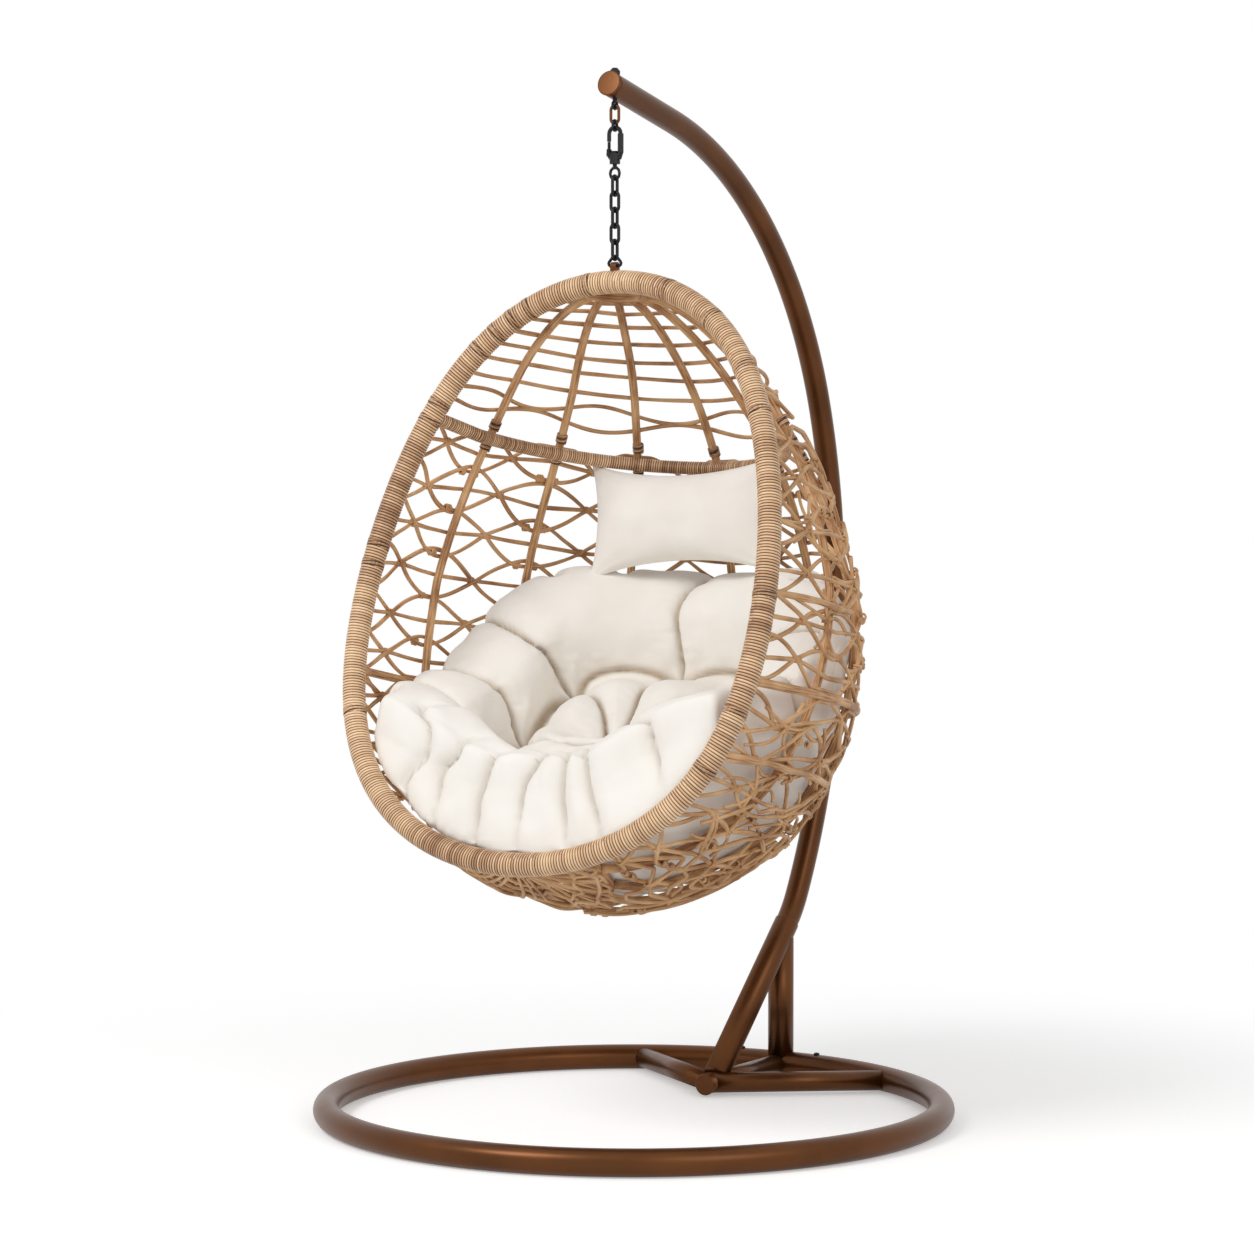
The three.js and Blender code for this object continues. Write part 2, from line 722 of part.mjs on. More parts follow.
// The woven skin between two levels: a slanting net of cells, each with its hole.
function weaveNet([from, to]) {
  const corner = (column, row) => [
    THREE.MathUtils.lerp(from, to, row / weaveRows),
    (column + 1) / (weaveColumns + 2),
  ];
  const layer = ([level, share], outward) => onShell(level, share, outward);
  const triangles = [];
  const quad = (a, b, c, d) => triangles.push([a, b, c], [a, c, d]);
  for (let row = 0; row <= weaveRows; row++)
    for (let column = 0; column <= weaveColumns; column++) {
      if ((row + column) % 2 === 0) continue;
      const around = [
        [column, row - 1],
        [column + 1, row],
        [column, row + 1],
        [column - 1, row],
      ].map(([c, r]) => [
        THREE.MathUtils.clamp(c, 0, weaveColumns),
        THREE.MathUtils.clamp(r, 0, weaveRows),
      ]);
      const onBorder = (i, j) =>
        [weaveColumns, weaveRows].some((last, k) =>
          [0, last].some((limit) => around[i][k] === limit && around[j][k] === limit),
        );
      const cell = around.map(([c, r]) => corner(c, r));
      const middle = [0, 1].map((k) => cell.reduce((sum, point) => sum + point[k], 0) / cell.length);
      const hole = cell.map((point) => point.map((value, k) => middle[k] + weaveHole * (value - middle[k])));
      const outerCell = cell.map((point) => layer(point, strandRadius));
      const innerCell = cell.map((point) => layer(point, -strandRadius));
      const outerHole = hole.map((point) => layer(point, strandRadius));
      const innerHole = hole.map((point) => layer(point, -strandRadius));
      cell.forEach((_, i) => {
        const next = (i + 1) % cell.length;
        quad(outerCell[next], outerCell[i], outerHole[i], outerHole[next]);
        quad(innerCell[i], innerCell[next], innerHole[next], innerHole[i]);
        quad(outerHole[next], outerHole[i], innerHole[i], innerHole[next]);
        if (onBorder(i, next)) quad(outerCell[i], outerCell[next], innerCell[next], innerCell[i]);
      });
    }
  return geometryFrom(triangles);
}

function buildBasket(group) {
  // Rim tube, the lug that carries the basket and the two halves of the rim's wrapping
  const rimLine = (from, to, steps) =>
    Array.from({ length: steps + 1 }, (_, i) => {
      const level = from + ((to - from) * i) / steps;
      const { half, middle } = rimAt(Math.abs(level));
      return middle.setX(Math.sign(level) * half);
    });
  place(group, "rim_tube", wireLoop(rimLine(-180, 180, rimSteps).slice(0, -1), rimTubeRadius, 8), bronzePaint);
  const lugShape = new THREE.Shape();
  lugShape.moveTo(-lugRadius, lugSeat).lineTo(lugRadius, lugSeat).lineTo(lugRadius, lugBarZ);
  lugShape.absarc(0, lugBarZ, lugRadius, 0, Math.PI, false);
  lugShape.lineTo(-lugRadius, lugSeat);
  const lugHole = new THREE.Path().absarc(0, lugBarZ, chainWireRadius + clearance, 0, 2 * Math.PI, true);
  lugShape.holes.push(lugHole);
  const lug = new THREE.ExtrudeGeometry(lugShape, { depth: lugThickness, bevelEnabled: false, curveSegments: 5 });
  lug.translate(0, 0, -lugThickness / 2).rotateX(Math.PI / 2).rotateZ(Math.PI / 2).translate(0, hangY, 0);
  place(group, "lug", lug, bronzePaint);
  const wrapEnvelopes = [["rim_wrap_left", -1], ["rim_wrap_right", 1]].map(([name, side]) => {
    const line = rimLine(side * wrapStart, side * wrapEnd, rimSteps / 2);
    const flatRadius = wrapRadius * Math.cos(Math.PI / wrapSides);
    place(group, name, tube(line, flatRadius, wrapSides, wrapBoreRadius, 6), rattan);
    return cane(line, wrapRadius + clearance, wrapSides);
  });

  // Hoops, from rim to rim: the ribs end on the crown and base ones, the upper one lies inside
  // the ribs and the lower one outside them
  const ribDepth = strandRadius + ribRadius + facetAllowance;
  const hoop = (name, level, radius, outward, steps) => {
    const line = acrossShell(level, outward, steps);
    place(group, name, cut(cane(line, radius, hoopSides), ...wrapEnvelopes), rattan);
    return cane(line, radius + clearance, hoopSides);
  };
  const ribEnds = [
    hoop("hoop_crown", crownHoopLevel, endHoopRadius, -ribDepth, 12),
    hoop("hoop_base", baseHoopLevel, endHoopRadius, -ribDepth, 16),
  ];
  const upperDepth = ribDepth + ribRadius + upperHoopRadius + facetAllowance;
  hoop("hoop_upper", upperHoopLevel, upperHoopRadius, -upperDepth, 22);
  const lowerEnvelope = hoop("hoop_lower", lowerHoopLevel, hoopRadius, hoopRadius - strandRadius, 24);

  // Ribs, evenly spaced round the shell
  for (let rib = 1; rib <= ribCount; rib++) {
    const line = Array.from({ length: ribSteps + 1 }, (_, i) => {
      const level = THREE.MathUtils.lerp(crownHoopLevel, baseHoopLevel, i / ribSteps);
      return onShell(level, rib / (ribCount + 1), -ribDepth);
    });
    place(group, `rib_${rib}`, cut(cane(line, ribRadius, ribSides), ...ribEnds, ...wrapEnvelopes), rattan);
  }

  // Level strands of the dome, outside the ribs
  strandLevels.forEach((level, i) => {
    const strand = cane(acrossShell(level, 0, strandSteps), strandRadius, 5);
    place(group, `dome_strand_${i + 1}`, cut(strand, ...wrapEnvelopes), rattan);
  });

  // The woven skin above and below the lower hoop
  place(group, "weave_upper", cut(weaveNet(weaveUpper), lowerEnvelope), rattan);
  place(group, "weave_lower", cut(weaveNet(weaveLower), lowerEnvelope), rattan);
}

// ---- Cushions ------------------------------------------------------------------------------

// How far a ray from a point inside the basket runs before it meets the shell.
function shellDistance(origin, direction) {
  const inside = (point) => {
    let [low, high] = [0, 180];
    const sideOf = (level) => {
      const start = rimAt(level).middle;
      const end = backLine.getPoint(level / 180);
      return (end.y - start.y) * (point.z - start.z) - (end.z - start.z) * (point.y - start.y);
    };
    for (let i = 0; i < 24; i++) {
      const level = (low + high) / 2;
      if (sideOf(level) > 0) high = level;
      else low = level;
    }
    const start = rimAt(low).middle;
    const end = backLine.getPoint(low / 180);
    const depth = (point.y - start.y) / (end.y - start.y);
    if (depth < 0 || depth > 1) return false;
    const roundness = THREE.MathUtils.lerp(shellRoundness, shellSquareness, Math.min(low / 70, 1));
    const bulge = shellBulge * THREE.MathUtils.clamp((low - 45) / 45, 0, 1);
    const width = (1 - depth ** roundness) ** (1 / roundness) * (1 + bulge * depth);
    return Math.abs(point.x) < rimAt(low).half * width;
  };
  let [near, far] = [0, 900];
  for (let i = 0; i < 24; i++) {
    const half = (near + far) / 2;
    if (inside(origin.clone().addScaledVector(direction, half))) near = half;
    else far = half;
  }
  return near;
}

// The cushion's hollow at its sewn tufts and seams, from 0 to 1; reach runs from its middle to its edge.
function seamDepth(reach, angle) {
  const x = reach * Math.sin(angle);
  const y = reach * Math.cos(angle);
  let depth = 0;
  for (let tuft = 0; tuft < tuftCount; tuft++) {
    const turn = (2 * Math.PI * (tuft + 0.5)) / tuftCount;
    const along = x * Math.sin(turn) + y * Math.cos(turn);
    const aside = Math.abs(x * Math.cos(turn) - y * Math.sin(turn));
    if (along > tuftRing) depth = Math.max(depth, Math.exp(-((aside / (seamWidth * 1.4)) ** 2)));
    const fromTuft = Math.hypot(along - tuftRing, aside);
    depth = Math.max(depth, 1.3 * Math.exp(-((fromTuft / (seamWidth * 2)) ** 2)));
  }
  const bowed = tuftRing * (1 - 0.12 * Math.cos(angle * tuftCount));
  const ring = Math.exp(-(((reach - bowed) / (seamWidth * 1.4)) ** 2));
  return Math.max(depth, ring);
}

function buildSeatCushion(group) {
  const origin = vector(cushionEye[0], hangY + cushionEye[1], rimTopZ + cushionEye[2]);
  const lean = radians(cushionAxisTilt);
  const axis = vector(0, Math.sin(lean), -Math.cos(lean));
  const forward = vector(0, Math.cos(lean), Math.sin(lean));
  const ray = (reach, angle) => {
    const toBack = Math.cos(angle);
    const end = toBack > 0 ? cushionReach.back : cushionReach.front;
    const limit = THREE.MathUtils.lerp(cushionReach.side, end, Math.abs(toBack) ** 2);
    const polar = radians(limit * reach);
    return axis
      .clone()
      .multiplyScalar(Math.cos(polar))
      .addScaledVector(forward, Math.sin(polar) * Math.cos(angle))
      .addScaledVector(vector(1, 0, 0), Math.sin(polar) * Math.sin(angle));
  };
  const point = (reach, angle, lift) => {
    const direction = ray(reach, angle);
    const distance = shellDistance(origin, direction) - cushionClearance;
    return origin.clone().addScaledVector(direction, distance - lift);
  };
  const crownAt = (reach) => Math.sqrt(Math.max(1 - reach ** 8, 0));
  const rings = Array.from({ length: cushionRings }, (_, i) => Math.sin((Math.PI / 2) * ((i + 1) / cushionRings)) ** 0.9);
  const angles = Array.from({ length: cushionSpokes }, (_, i) => (2 * Math.PI * i) / cushionSpokes);
  const lower = rings.map((reach) =>
    angles.map((angle) => point(reach, angle, (cushionThickness / 2) * (1 - crownAt(reach) ** 0.5))),
  );
  const upper = rings.map((reach) =>
    angles.map((angle) => {
      const fullness = 0.5 + 0.5 * crownAt(reach);
      const edge = reach < 1 ? tuftDepth * seamDepth(reach, angle) : 0;
      return point(reach, angle, reach < 1 ? cushionThickness * fullness - edge : cushionThickness / 2);
    }),
  );
  const lowerMiddle = point(0, 0, 0);
  const upperMiddle = point(0, 0, cushionThickness);
  const triangles = [];
  const close = (middle, ring, flip) =>
    ring.forEach((spot, i) => {
      const next = ring[(i + 1) % ring.length];
      triangles.push(flip ? [middle, next, spot] : [middle, spot, next]);
    });
  close(upperMiddle, upper[0], true);
  close(lowerMiddle, lower[0], false);
  skin(upper, true).forEach((face) => triangles.push(face));
  skin([...lower.slice(0, -1), upper[upper.length - 1]], true).forEach(([a, b, c]) => triangles.push([a, c, b]));
  place(group, "seat_cushion", geometryFrom(triangles), cotton);
}

function buildHeadPillow(group) {
  const [across, up] = pillowSteps;
  const side = (front) =>
    Array.from({ length: up + 1 }, (_, row) =>
      Array.from({ length: across + 1 }, (_, column) => {
        const u = -Math.cos((Math.PI * column) / across);
        const v = -Math.cos((Math.PI * row) / up);
        const waist = 1 - pillowWaist * (1 - u * u);
        const waistAcross = 1 - (pillowWaist / 2) * (1 - v * v);
        const swell = Math.sqrt(Math.max((1 - u * u) * (1 - v * v), 0)) ** 0.8;
        return vector(
          (pillowWidth / 2) * u * waistAcross,
          -front * (pillowThickness / 2) * swell,
          (pillowHeight / 2) * v * waist,
        );
      }),
    );
  const faces = [...skin(side(1), false), ...skin(side(-1), false).map(([a, b, c]) => [a, c, b])];
  const geometry = geometryFrom(faces);
  geometry.rotateX(radians(-pillowLean));
  geometry.translate(pillowCentre[0], hangY + pillowCentre[1], rimTopZ + pillowCentre[2]);
  place(group, "head_pillow", geometry, cotton);
}

// ---- Assembly ------------------------------------------------------------------------------

const chair = new THREE.Group();
const stand = new THREE.Group();
const hangingGear = new THREE.Group();
const basket = new THREE.Group();
buildStand(stand);
buildArm(stand);
buildHangingGear(hangingGear);
buildBasket(basket);
buildSeatCushion(basket);
buildHeadPillow(basket);
chair.add(stand, hangingGear, basket);

const extent = new THREE.Box3().setFromObject(chair);
chair.position.y = -(extent.min.y + extent.max.y) / 2;

export default chair;
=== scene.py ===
import math

import bpy
import numpy as np
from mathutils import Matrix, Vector
from mathutils.kdtree import KDTree


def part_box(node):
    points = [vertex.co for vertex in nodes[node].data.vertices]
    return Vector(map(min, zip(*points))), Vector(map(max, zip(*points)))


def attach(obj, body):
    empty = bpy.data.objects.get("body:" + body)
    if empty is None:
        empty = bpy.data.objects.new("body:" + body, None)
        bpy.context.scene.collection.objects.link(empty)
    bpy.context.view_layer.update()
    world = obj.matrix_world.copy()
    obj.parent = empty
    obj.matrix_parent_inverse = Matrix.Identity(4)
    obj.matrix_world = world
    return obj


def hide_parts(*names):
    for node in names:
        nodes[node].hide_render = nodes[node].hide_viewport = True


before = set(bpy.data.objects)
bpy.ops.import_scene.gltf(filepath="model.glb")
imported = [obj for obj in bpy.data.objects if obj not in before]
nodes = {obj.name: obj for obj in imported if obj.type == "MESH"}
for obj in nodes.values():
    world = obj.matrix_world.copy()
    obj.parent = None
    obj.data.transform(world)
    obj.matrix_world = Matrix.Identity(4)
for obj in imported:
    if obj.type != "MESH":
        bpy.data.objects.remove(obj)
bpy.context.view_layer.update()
rng = np.random.default_rng(7)

print("stage: frame loaded")

# Where the floor ring's middle is: every size of the basket is measured from it.
ringLow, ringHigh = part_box("base_ring")
ringMiddleY = (ringLow[1] + ringHigh[1]) / 2 * 1000


def toFrame(points):
    moved = np.array(points, dtype=float)
    moved[..., 1] += ringMiddleY
    return moved / 1000


# Colours are written as sRGB and turned to linear here.
def hexColor(text):
    values = [int(text[i:i + 2], 16) / 255 for i in (1, 3, 5)]
    linear = [v / 12.92 if v <= 0.04045 else ((v + 0.055) / 1.055) ** 2.4 for v in values]
    return (*linear, 1.0)


def newMaterial(name):
    material = bpy.data.materials.new(name)
    material.use_nodes = True
    material.node_tree.nodes.clear()
    return material


# Adds one node: settings are its properties, values its unlinked sockets, links its fed sockets, and stops
# the places and colours of a ramp, from low to high.
def addNode(tree, kind, settings=None, values=None, links=None, stops=()):
    node = tree.nodes.new(kind)
    for key, value in (settings or {}).items():
        setattr(node, key, value)
    for key, value in (values or {}).items():
        node.inputs[key].default_value = value
    for key, source in (links or {}).items():
        tree.links.new(source, node.inputs[key])
    for i, (place, color) in enumerate(stops):
        marks = node.color_ramp.elements
        mark = marks[i] if i < len(marks) else marks.new(place)
        mark.position = place
        mark.color = hexColor(color)
    return node


caneLook = {
    "pale": "#eec89a", "middle": "#d1a473", "dark": "#9a6840", "node": "#6c4429", "roughness": 0.52,
    "bump": 0.25, "fibreMm": 1.2, "fibreLengthMm": 60, "girthMm": 26, "patchMm": 71.43,
    "fibreShare": 0.62, "patchShare": 0.42,
}


# Round rattan core, dressed and lightly varnished: warm tan, long pale and brown fibre streaks.
def makeCane(name, look, darker=0.0):
    material = newMaterial(name)
    tree = material.node_tree
    place = addNode(tree, "ShaderNodeUVMap")
    scale = (1000 / look["fibreLengthMm"], look["girthMm"] / look["fibreMm"], 1)
    stretch = addNode(tree, "ShaderNodeVectorMath", {"operation": "MULTIPLY"}, {1: scale},
                      {0: place.outputs["UV"]})
    fibre = addNode(tree, "ShaderNodeTexNoise", None, {"Scale": 1.0, "Detail": 5.0, "Roughness": 0.6},
                    {"Vector": stretch.outputs["Vector"]})
    spot = addNode(tree, "ShaderNodeTexCoord")
    patch = addNode(tree, "ShaderNodeTexNoise", None, {"Scale": 1000 / look["patchMm"], "Detail": 3.0},
                    {"Vector": spot.outputs["Object"]})
    both = addNode(tree, "ShaderNodeMath", {"operation": "MULTIPLY_ADD"},
                   {1: look["fibreShare"], 2: -darker}, {0: fibre.outputs["Fac"]})
    mixed = addNode(tree, "ShaderNodeMath", {"operation": "MULTIPLY_ADD"}, {1: look["patchShare"]},
                    {0: patch.outputs["Fac"], 2: both.outputs["Value"]})
    color = addNode(tree, "ShaderNodeValToRGB", links={"Fac": mixed.outputs["Value"]},
                    stops=[(0.3, look["node"]), (0.42, look["dark"]), (0.54, look["middle"]),
                           (0.7, look["pale"])])
    rough = addNode(tree, "ShaderNodeMapRange", None, {"To Min": look["roughness"] - 0.1,
                                                       "To Max": look["roughness"] + 0.14},
                    {"Value": fibre.outputs["Fac"]})
    bump = addNode(tree, "ShaderNodeBump", None, {"Strength": look["bump"], "Distance": 0.0008},
                   {"Height": fibre.outputs["Fac"]})
    shader = addNode(tree, "ShaderNodeBsdfPrincipled", None, {"IOR": 1.5, "Specular IOR Level": 0.45},
                     {"Base Color": color.outputs["Color"], "Roughness": rough.outputs["Result"],
                      "Normal": bump.outputs["Normal"]})
    addNode(tree, "ShaderNodeOutputMaterial", None, None, {"Surface": shader.outputs["BSDF"]})
    return material


# The darkest stop, gap, and the groove settings paint shade into the grooves between one turn and the next.
wrapLook = {
    "pale": "#f4d3aa", "middle": "#dcb38a", "dark": "#a97b53", "old": "#754d2f", "gap": "#331d0e",
    "driftShare": 0.46, "turnShare": 0.14, "fibreShare": 0.2, "base": 0.08, "grooveShadeWidth": 0.25,
    "grooveShade": 0.46, "driftMm": 240, "streaks": (9, 3, 1), "roughness": 0.38, "bump": 0.2,
}


# Split cane skin wound tight round the tube: each turn has its own tone, a soft waxy gloss and painted shade
# in the grooves between turns.
def makeWrap(name, look, darker=0.0):
    material = newMaterial(name)
    tree = material.node_tree
    place = addNode(tree, "ShaderNodeUVMap")
    parts = addNode(tree, "ShaderNodeSeparateXYZ", None, None, {"Vector": place.outputs["UV"]})
    turn = addNode(tree, "ShaderNodeMath", {"operation": "ADD"}, None,
                   {0: parts.outputs["X"], 1: parts.outputs["Y"]})
    number = addNode(tree, "ShaderNodeMath", {"operation": "FLOOR"}, None, {0: turn.outputs["Value"]})
    tone = addNode(tree, "ShaderNodeTexWhiteNoise", {"noise_dimensions": "1D"}, None,
                   {"W": number.outputs["Value"]})
    spot = addNode(tree, "ShaderNodeTexCoord")
    drift = addNode(tree, "ShaderNodeTexNoise", None, {"Scale": 1000 / look["driftMm"], "Detail": 4.0},
                    {"Vector": spot.outputs["Object"]})
    streak = addNode(tree, "ShaderNodeVectorMath", {"operation": "MULTIPLY"}, {1: look["streaks"]},
                     {0: place.outputs["UV"]})
    fibre = addNode(tree, "ShaderNodeTexNoise", None, {"Scale": 1.0, "Detail": 3.0},
                    {"Vector": streak.outputs["Vector"]})
    own = addNode(tree, "ShaderNodeMath", {"operation": "MULTIPLY_ADD"},
                  {1: look["turnShare"], 2: look["base"] - darker}, {0: tone.outputs["Value"]})
    wide = addNode(tree, "ShaderNodeMath", {"operation": "MULTIPLY_ADD"}, {1: look["driftShare"]},
                   {0: drift.outputs["Fac"], 2: own.outputs["Value"]})
    fine = addNode(tree, "ShaderNodeMath", {"operation": "MULTIPLY_ADD"}, {1: look["fibreShare"]},
                   {0: fibre.outputs["Fac"], 2: wide.outputs["Value"]})
    # painted shade: the colour darkens toward the grooves between one turn and the next
    inTurn = addNode(tree, "ShaderNodeMath", {"operation": "FRACT"}, None, {0: turn.outputs["Value"]})
    edge = addNode(tree, "ShaderNodeMath", {"operation": "PINGPONG"}, {1: 0.5}, {0: inTurn.outputs["Value"]})
    grooveShadeOffset = addNode(tree, "ShaderNodeMapRange", None,
                     {"From Max": look["grooveShadeWidth"], "To Min": -look["grooveShade"], "To Max": 0.0},
                     {"Value": edge.outputs["Value"]})
    total = addNode(tree, "ShaderNodeMath", {"operation": "ADD"}, None,
                    {0: fine.outputs["Value"], 1: grooveShadeOffset.outputs["Result"]})
    color = addNode(tree, "ShaderNodeValToRGB", links={"Fac": total.outputs["Value"]},
                    stops=[(0.08, look["gap"]), (0.2, look["old"]), (0.33, look["dark"]),
                           (0.44, look["middle"]), (0.58, look["pale"])])
    bump = addNode(tree, "ShaderNodeBump", None, {"Strength": look["bump"], "Distance": 0.0006},
                   {"Height": fibre.outputs["Fac"]})
    shader = addNode(tree, "ShaderNodeBsdfPrincipled", None,
                     {"IOR": 1.5, "Specular IOR Level": 0.5, "Roughness": look["roughness"]},
                     {"Base Color": color.outputs["Color"], "Normal": bump.outputs["Normal"]})
    addNode(tree, "ShaderNodeOutputMaterial", None, None, {"Surface": shader.outputs["BSDF"]})
    return material


paintLook = {"deep": "#4b2a0f", "high": "#673c19", "metallic": 0.8, "roughness": 0.36, "fleckMm": 0.9,
             "cloudMm": 142.86, "bump": 0.06}


# Bronze powder coat on steel tube, baked on: a satin brown with a fine metal fleck, drawn as coarse as it
# needs to show.
def makePaint(name, look):
    material = newMaterial(name)
    tree = material.node_tree
    spot = addNode(tree, "ShaderNodeTexCoord")
    fleck = addNode(tree, "ShaderNodeTexNoise", None, {"Scale": 1000 / look["fleckMm"], "Detail": 2.0},
                    {"Vector": spot.outputs["Object"]})
    cloud = addNode(tree, "ShaderNodeTexNoise", None, {"Scale": 1000 / look["cloudMm"], "Detail": 3.0},
                    {"Vector": spot.outputs["Object"]})
    tone = addNode(tree, "ShaderNodeMath", {"operation": "MULTIPLY_ADD"}, {1: 0.5},
                   {0: fleck.outputs["Fac"], 2: cloud.outputs["Fac"]})
    color = addNode(tree, "ShaderNodeValToRGB", links={"Fac": tone.outputs["Value"]},
                    stops=[(0.45, look["deep"]), (1.0, look["high"])])
    rough = addNode(tree, "ShaderNodeMapRange", None, {"From Min": 0.3, "From Max": 0.7,
                                                       "To Min": look["roughness"] - 0.04,
                                                       "To Max": look["roughness"] + 0.06},
                    {"Value": cloud.outputs["Fac"]})
    bump = addNode(tree, "ShaderNodeBump", None, {"Strength": look["bump"], "Distance": 0.0003},
                   {"Height": fleck.outputs["Fac"]})
    shader = addNode(tree, "ShaderNodeBsdfPrincipled", None,
                     {"Metallic": look["metallic"], "Coat Weight": 0.08, "Coat Roughness": 0.2},
                     {"Base Color": color.outputs["Color"], "Roughness": rough.outputs["Result"],
                      "Normal": bump.outputs["Normal"]})
    addNode(tree, "ShaderNodeOutputMaterial", None, None, {"Surface": shader.outputs["BSDF"]})
    return material


steelLook = {"deep": "#101011", "high": "#232325", "metallic": 0.55, "roughness": 0.42, "grainMm": 1.6,
             "bump": 0.15}


# Black oxide on forged steel: nearly black, with a dull sheen and slight forging marks.
def makeBlackSteel(name, look):
    material = newMaterial(name)
    tree = material.node_tree
    spot = addNode(tree, "ShaderNodeTexCoord")
    grain = addNode(tree, "ShaderNodeTexNoise", None, {"Scale": 1000 / look["grainMm"], "Detail": 3.0},
                    {"Vector": spot.outputs["Object"]})
    color = addNode(tree, "ShaderNodeValToRGB", links={"Fac": grain.outputs["Fac"]},
                    stops=[(0.35, look["deep"]), (0.7, look["high"])])
    bump = addNode(tree, "ShaderNodeBump", None, {"Strength": look["bump"], "Distance": 0.0003},
                   {"Height": grain.outputs["Fac"]})
    shader = addNode(tree, "ShaderNodeBsdfPrincipled", None,
                     {"Metallic": look["metallic"], "Roughness": look["roughness"]},
                     {"Base Color": color.outputs["Color"], "Normal": bump.outputs["Normal"]})
    addNode(tree, "ShaderNodeOutputMaterial", None, None, {"Surface": shader.outputs["BSDF"]})
    return material


# The crease colour is a painted shade, mixed into the cloth along the seat's seams and pleats.
clothLook = {"light": "#f9f6f0", "shade": "#f2ede5", "creaseShadeColor": "#b7a48c", "threadMm": 0.8, "cloudMm": 111.11,
             "roughness": 0.92, "bump": 0.12}


# Plain-woven cotton canvas, washed: off-white, matt, a faint crossed thread and a soft bloom, with painted
# shade mixed in along the seat's seams and pleats.
def makeCanvas(name, look):
    material = newMaterial(name)
    tree = material.node_tree
    spot = addNode(tree, "ShaderNodeTexCoord")
    bands = 1000 / look["threadMm"] / 2 / 6.28  # the wave node's bands per unit
    warp, weft = (addNode(tree, "ShaderNodeTexWave", {"bands_direction": way},
                          {"Scale": bands, "Distortion": 1.5, "Detail": 2.0, "Detail Scale": 1.5},
                          {"Vector": spot.outputs["Object"]}) for way in "XZ")
    thread = addNode(tree, "ShaderNodeMath", {"operation": "MULTIPLY"}, None,
                     {0: warp.outputs["Fac"], 1: weft.outputs["Fac"]})
    cloud = addNode(tree, "ShaderNodeTexNoise", None, {"Scale": 1000 / look["cloudMm"], "Detail": 4.0},
                    {"Vector": spot.outputs["Object"]})
    tone = addNode(tree, "ShaderNodeMath", {"operation": "MULTIPLY_ADD"}, {1: 0.1},
                   {0: thread.outputs["Value"], 2: cloud.outputs["Fac"]})
    plain = addNode(tree, "ShaderNodeValToRGB", links={"Fac": tone.outputs["Value"]},
                    stops=[(0.3, look["shade"]), (0.75, look["light"])])
    # painted shade: the seat's mesh says how deep in a sewn crease each point lies, and there the colour is
    # mixed toward the darker crease colour, which stands in for the shadow the cloth gathers
    seamShade = addNode(tree, "ShaderNodeAttribute", {"attribute_name": "seamShade"})
    color = addNode(tree, "ShaderNodeMix", {"data_type": "RGBA"}, {7: hexColor(look["creaseShadeColor"])},
                    {0: seamShade.outputs["Fac"], 6: plain.outputs["Color"]})
    bump = addNode(tree, "ShaderNodeBump", None, {"Strength": look["bump"], "Distance": 0.0004},
                   {"Height": thread.outputs["Value"]})
    shader = addNode(tree, "ShaderNodeBsdfPrincipled", None,
                     {"Roughness": look["roughness"], "IOR": 1.45, "Specular IOR Level": 0.25,
                      "Sheen Weight": 0.25, "Sheen Roughness": 0.5},
                     {"Base Color": color.outputs[2], "Normal": bump.outputs["Normal"]})
    addNode(tree, "ShaderNodeOutputMaterial", None, None, {"Surface": shader.outputs["BSDF"]})
    return material


cane = makeCane("round rattan core", caneLook)
ribCane = makeCane("thick rattan pole", dict(caneLook, fibreLengthMm=90, fibreMm=1.8), 0.02)
rimCane = makeWrap("wound split cane", wrapLook)
hoopCane = makeWrap("wound split cane, darker", wrapLook, 0.05)
tieCane = makeWrap("dark split cane binding", wrapLook, 0.13)
bronzePaint = makePaint("bronze powder coat on steel", paintLook)
blackSteel = makeBlackSteel("black oxide steel", steelLook)
canvas = makeCanvas("washed cotton canvas", clothLook)
print("stage: materials made")


def meshPiece(name, points, faces, material, uvs=None):
    mesh = bpy.data.meshes.new(name)
    mesh.from_pydata([tuple(p) for p in points], [], [tuple(f) for f in faces])
    if uvs is not None:
        layer = mesh.uv_layers.new(name="UVMap")
        layer.data.foreach_set("uv", np.asarray(uvs, dtype=float).ravel())
    mesh.validate()
    mesh.update()
    mesh.materials.append(material)
    mesh.polygons.foreach_set("use_smooth", [True] * len(mesh.polygons))
    piece = bpy.data.objects.new(name, mesh)
    bpy.context.scene.collection.objects.link(piece)
    return piece


# The two directions square to a path at each of its points, with the least twist.
def pathFrames(path, closed=False):
    count = len(path)
    if closed:
        tangents = np.roll(path, -1, 0) - np.roll(path, 1, 0)
    else:
        tangents = np.gradient(path, axis=0)
    tangents /= np.linalg.norm(tangents, axis=1)[:, None]
    first = np.cross(tangents[0], [0.0, 0.0, 1.0])
    if np.linalg.norm(first) < 0.2:
        first = np.cross(tangents[0], [0.0, 1.0, 0.0])
    first /= np.linalg.norm(first)
    normals = [first]
    for i in range(1, count):
        normal = normals[-1] - tangents[i] * np.dot(normals[-1], tangents[i])
        normals.append(normal / np.linalg.norm(normal))
    normals = np.array(normals)
    if closed:
        # the small turn left at the closing is spread over the loop
        end = normals[-1] - tangents[0] * np.dot(normals[-1], tangents[0])
        end /= np.linalg.norm(end)
        gap = math.atan2(np.dot(np.cross(normals[0], end), tangents[0]), np.dot(normals[0], end))
        turns = -gap * np.arange(count) / count
        sideways = np.cross(tangents, normals)
        normals = normals * np.cos(turns)[:, None] + sideways * np.sin(turns)[:, None]
    return normals, np.cross(tangents, normals)


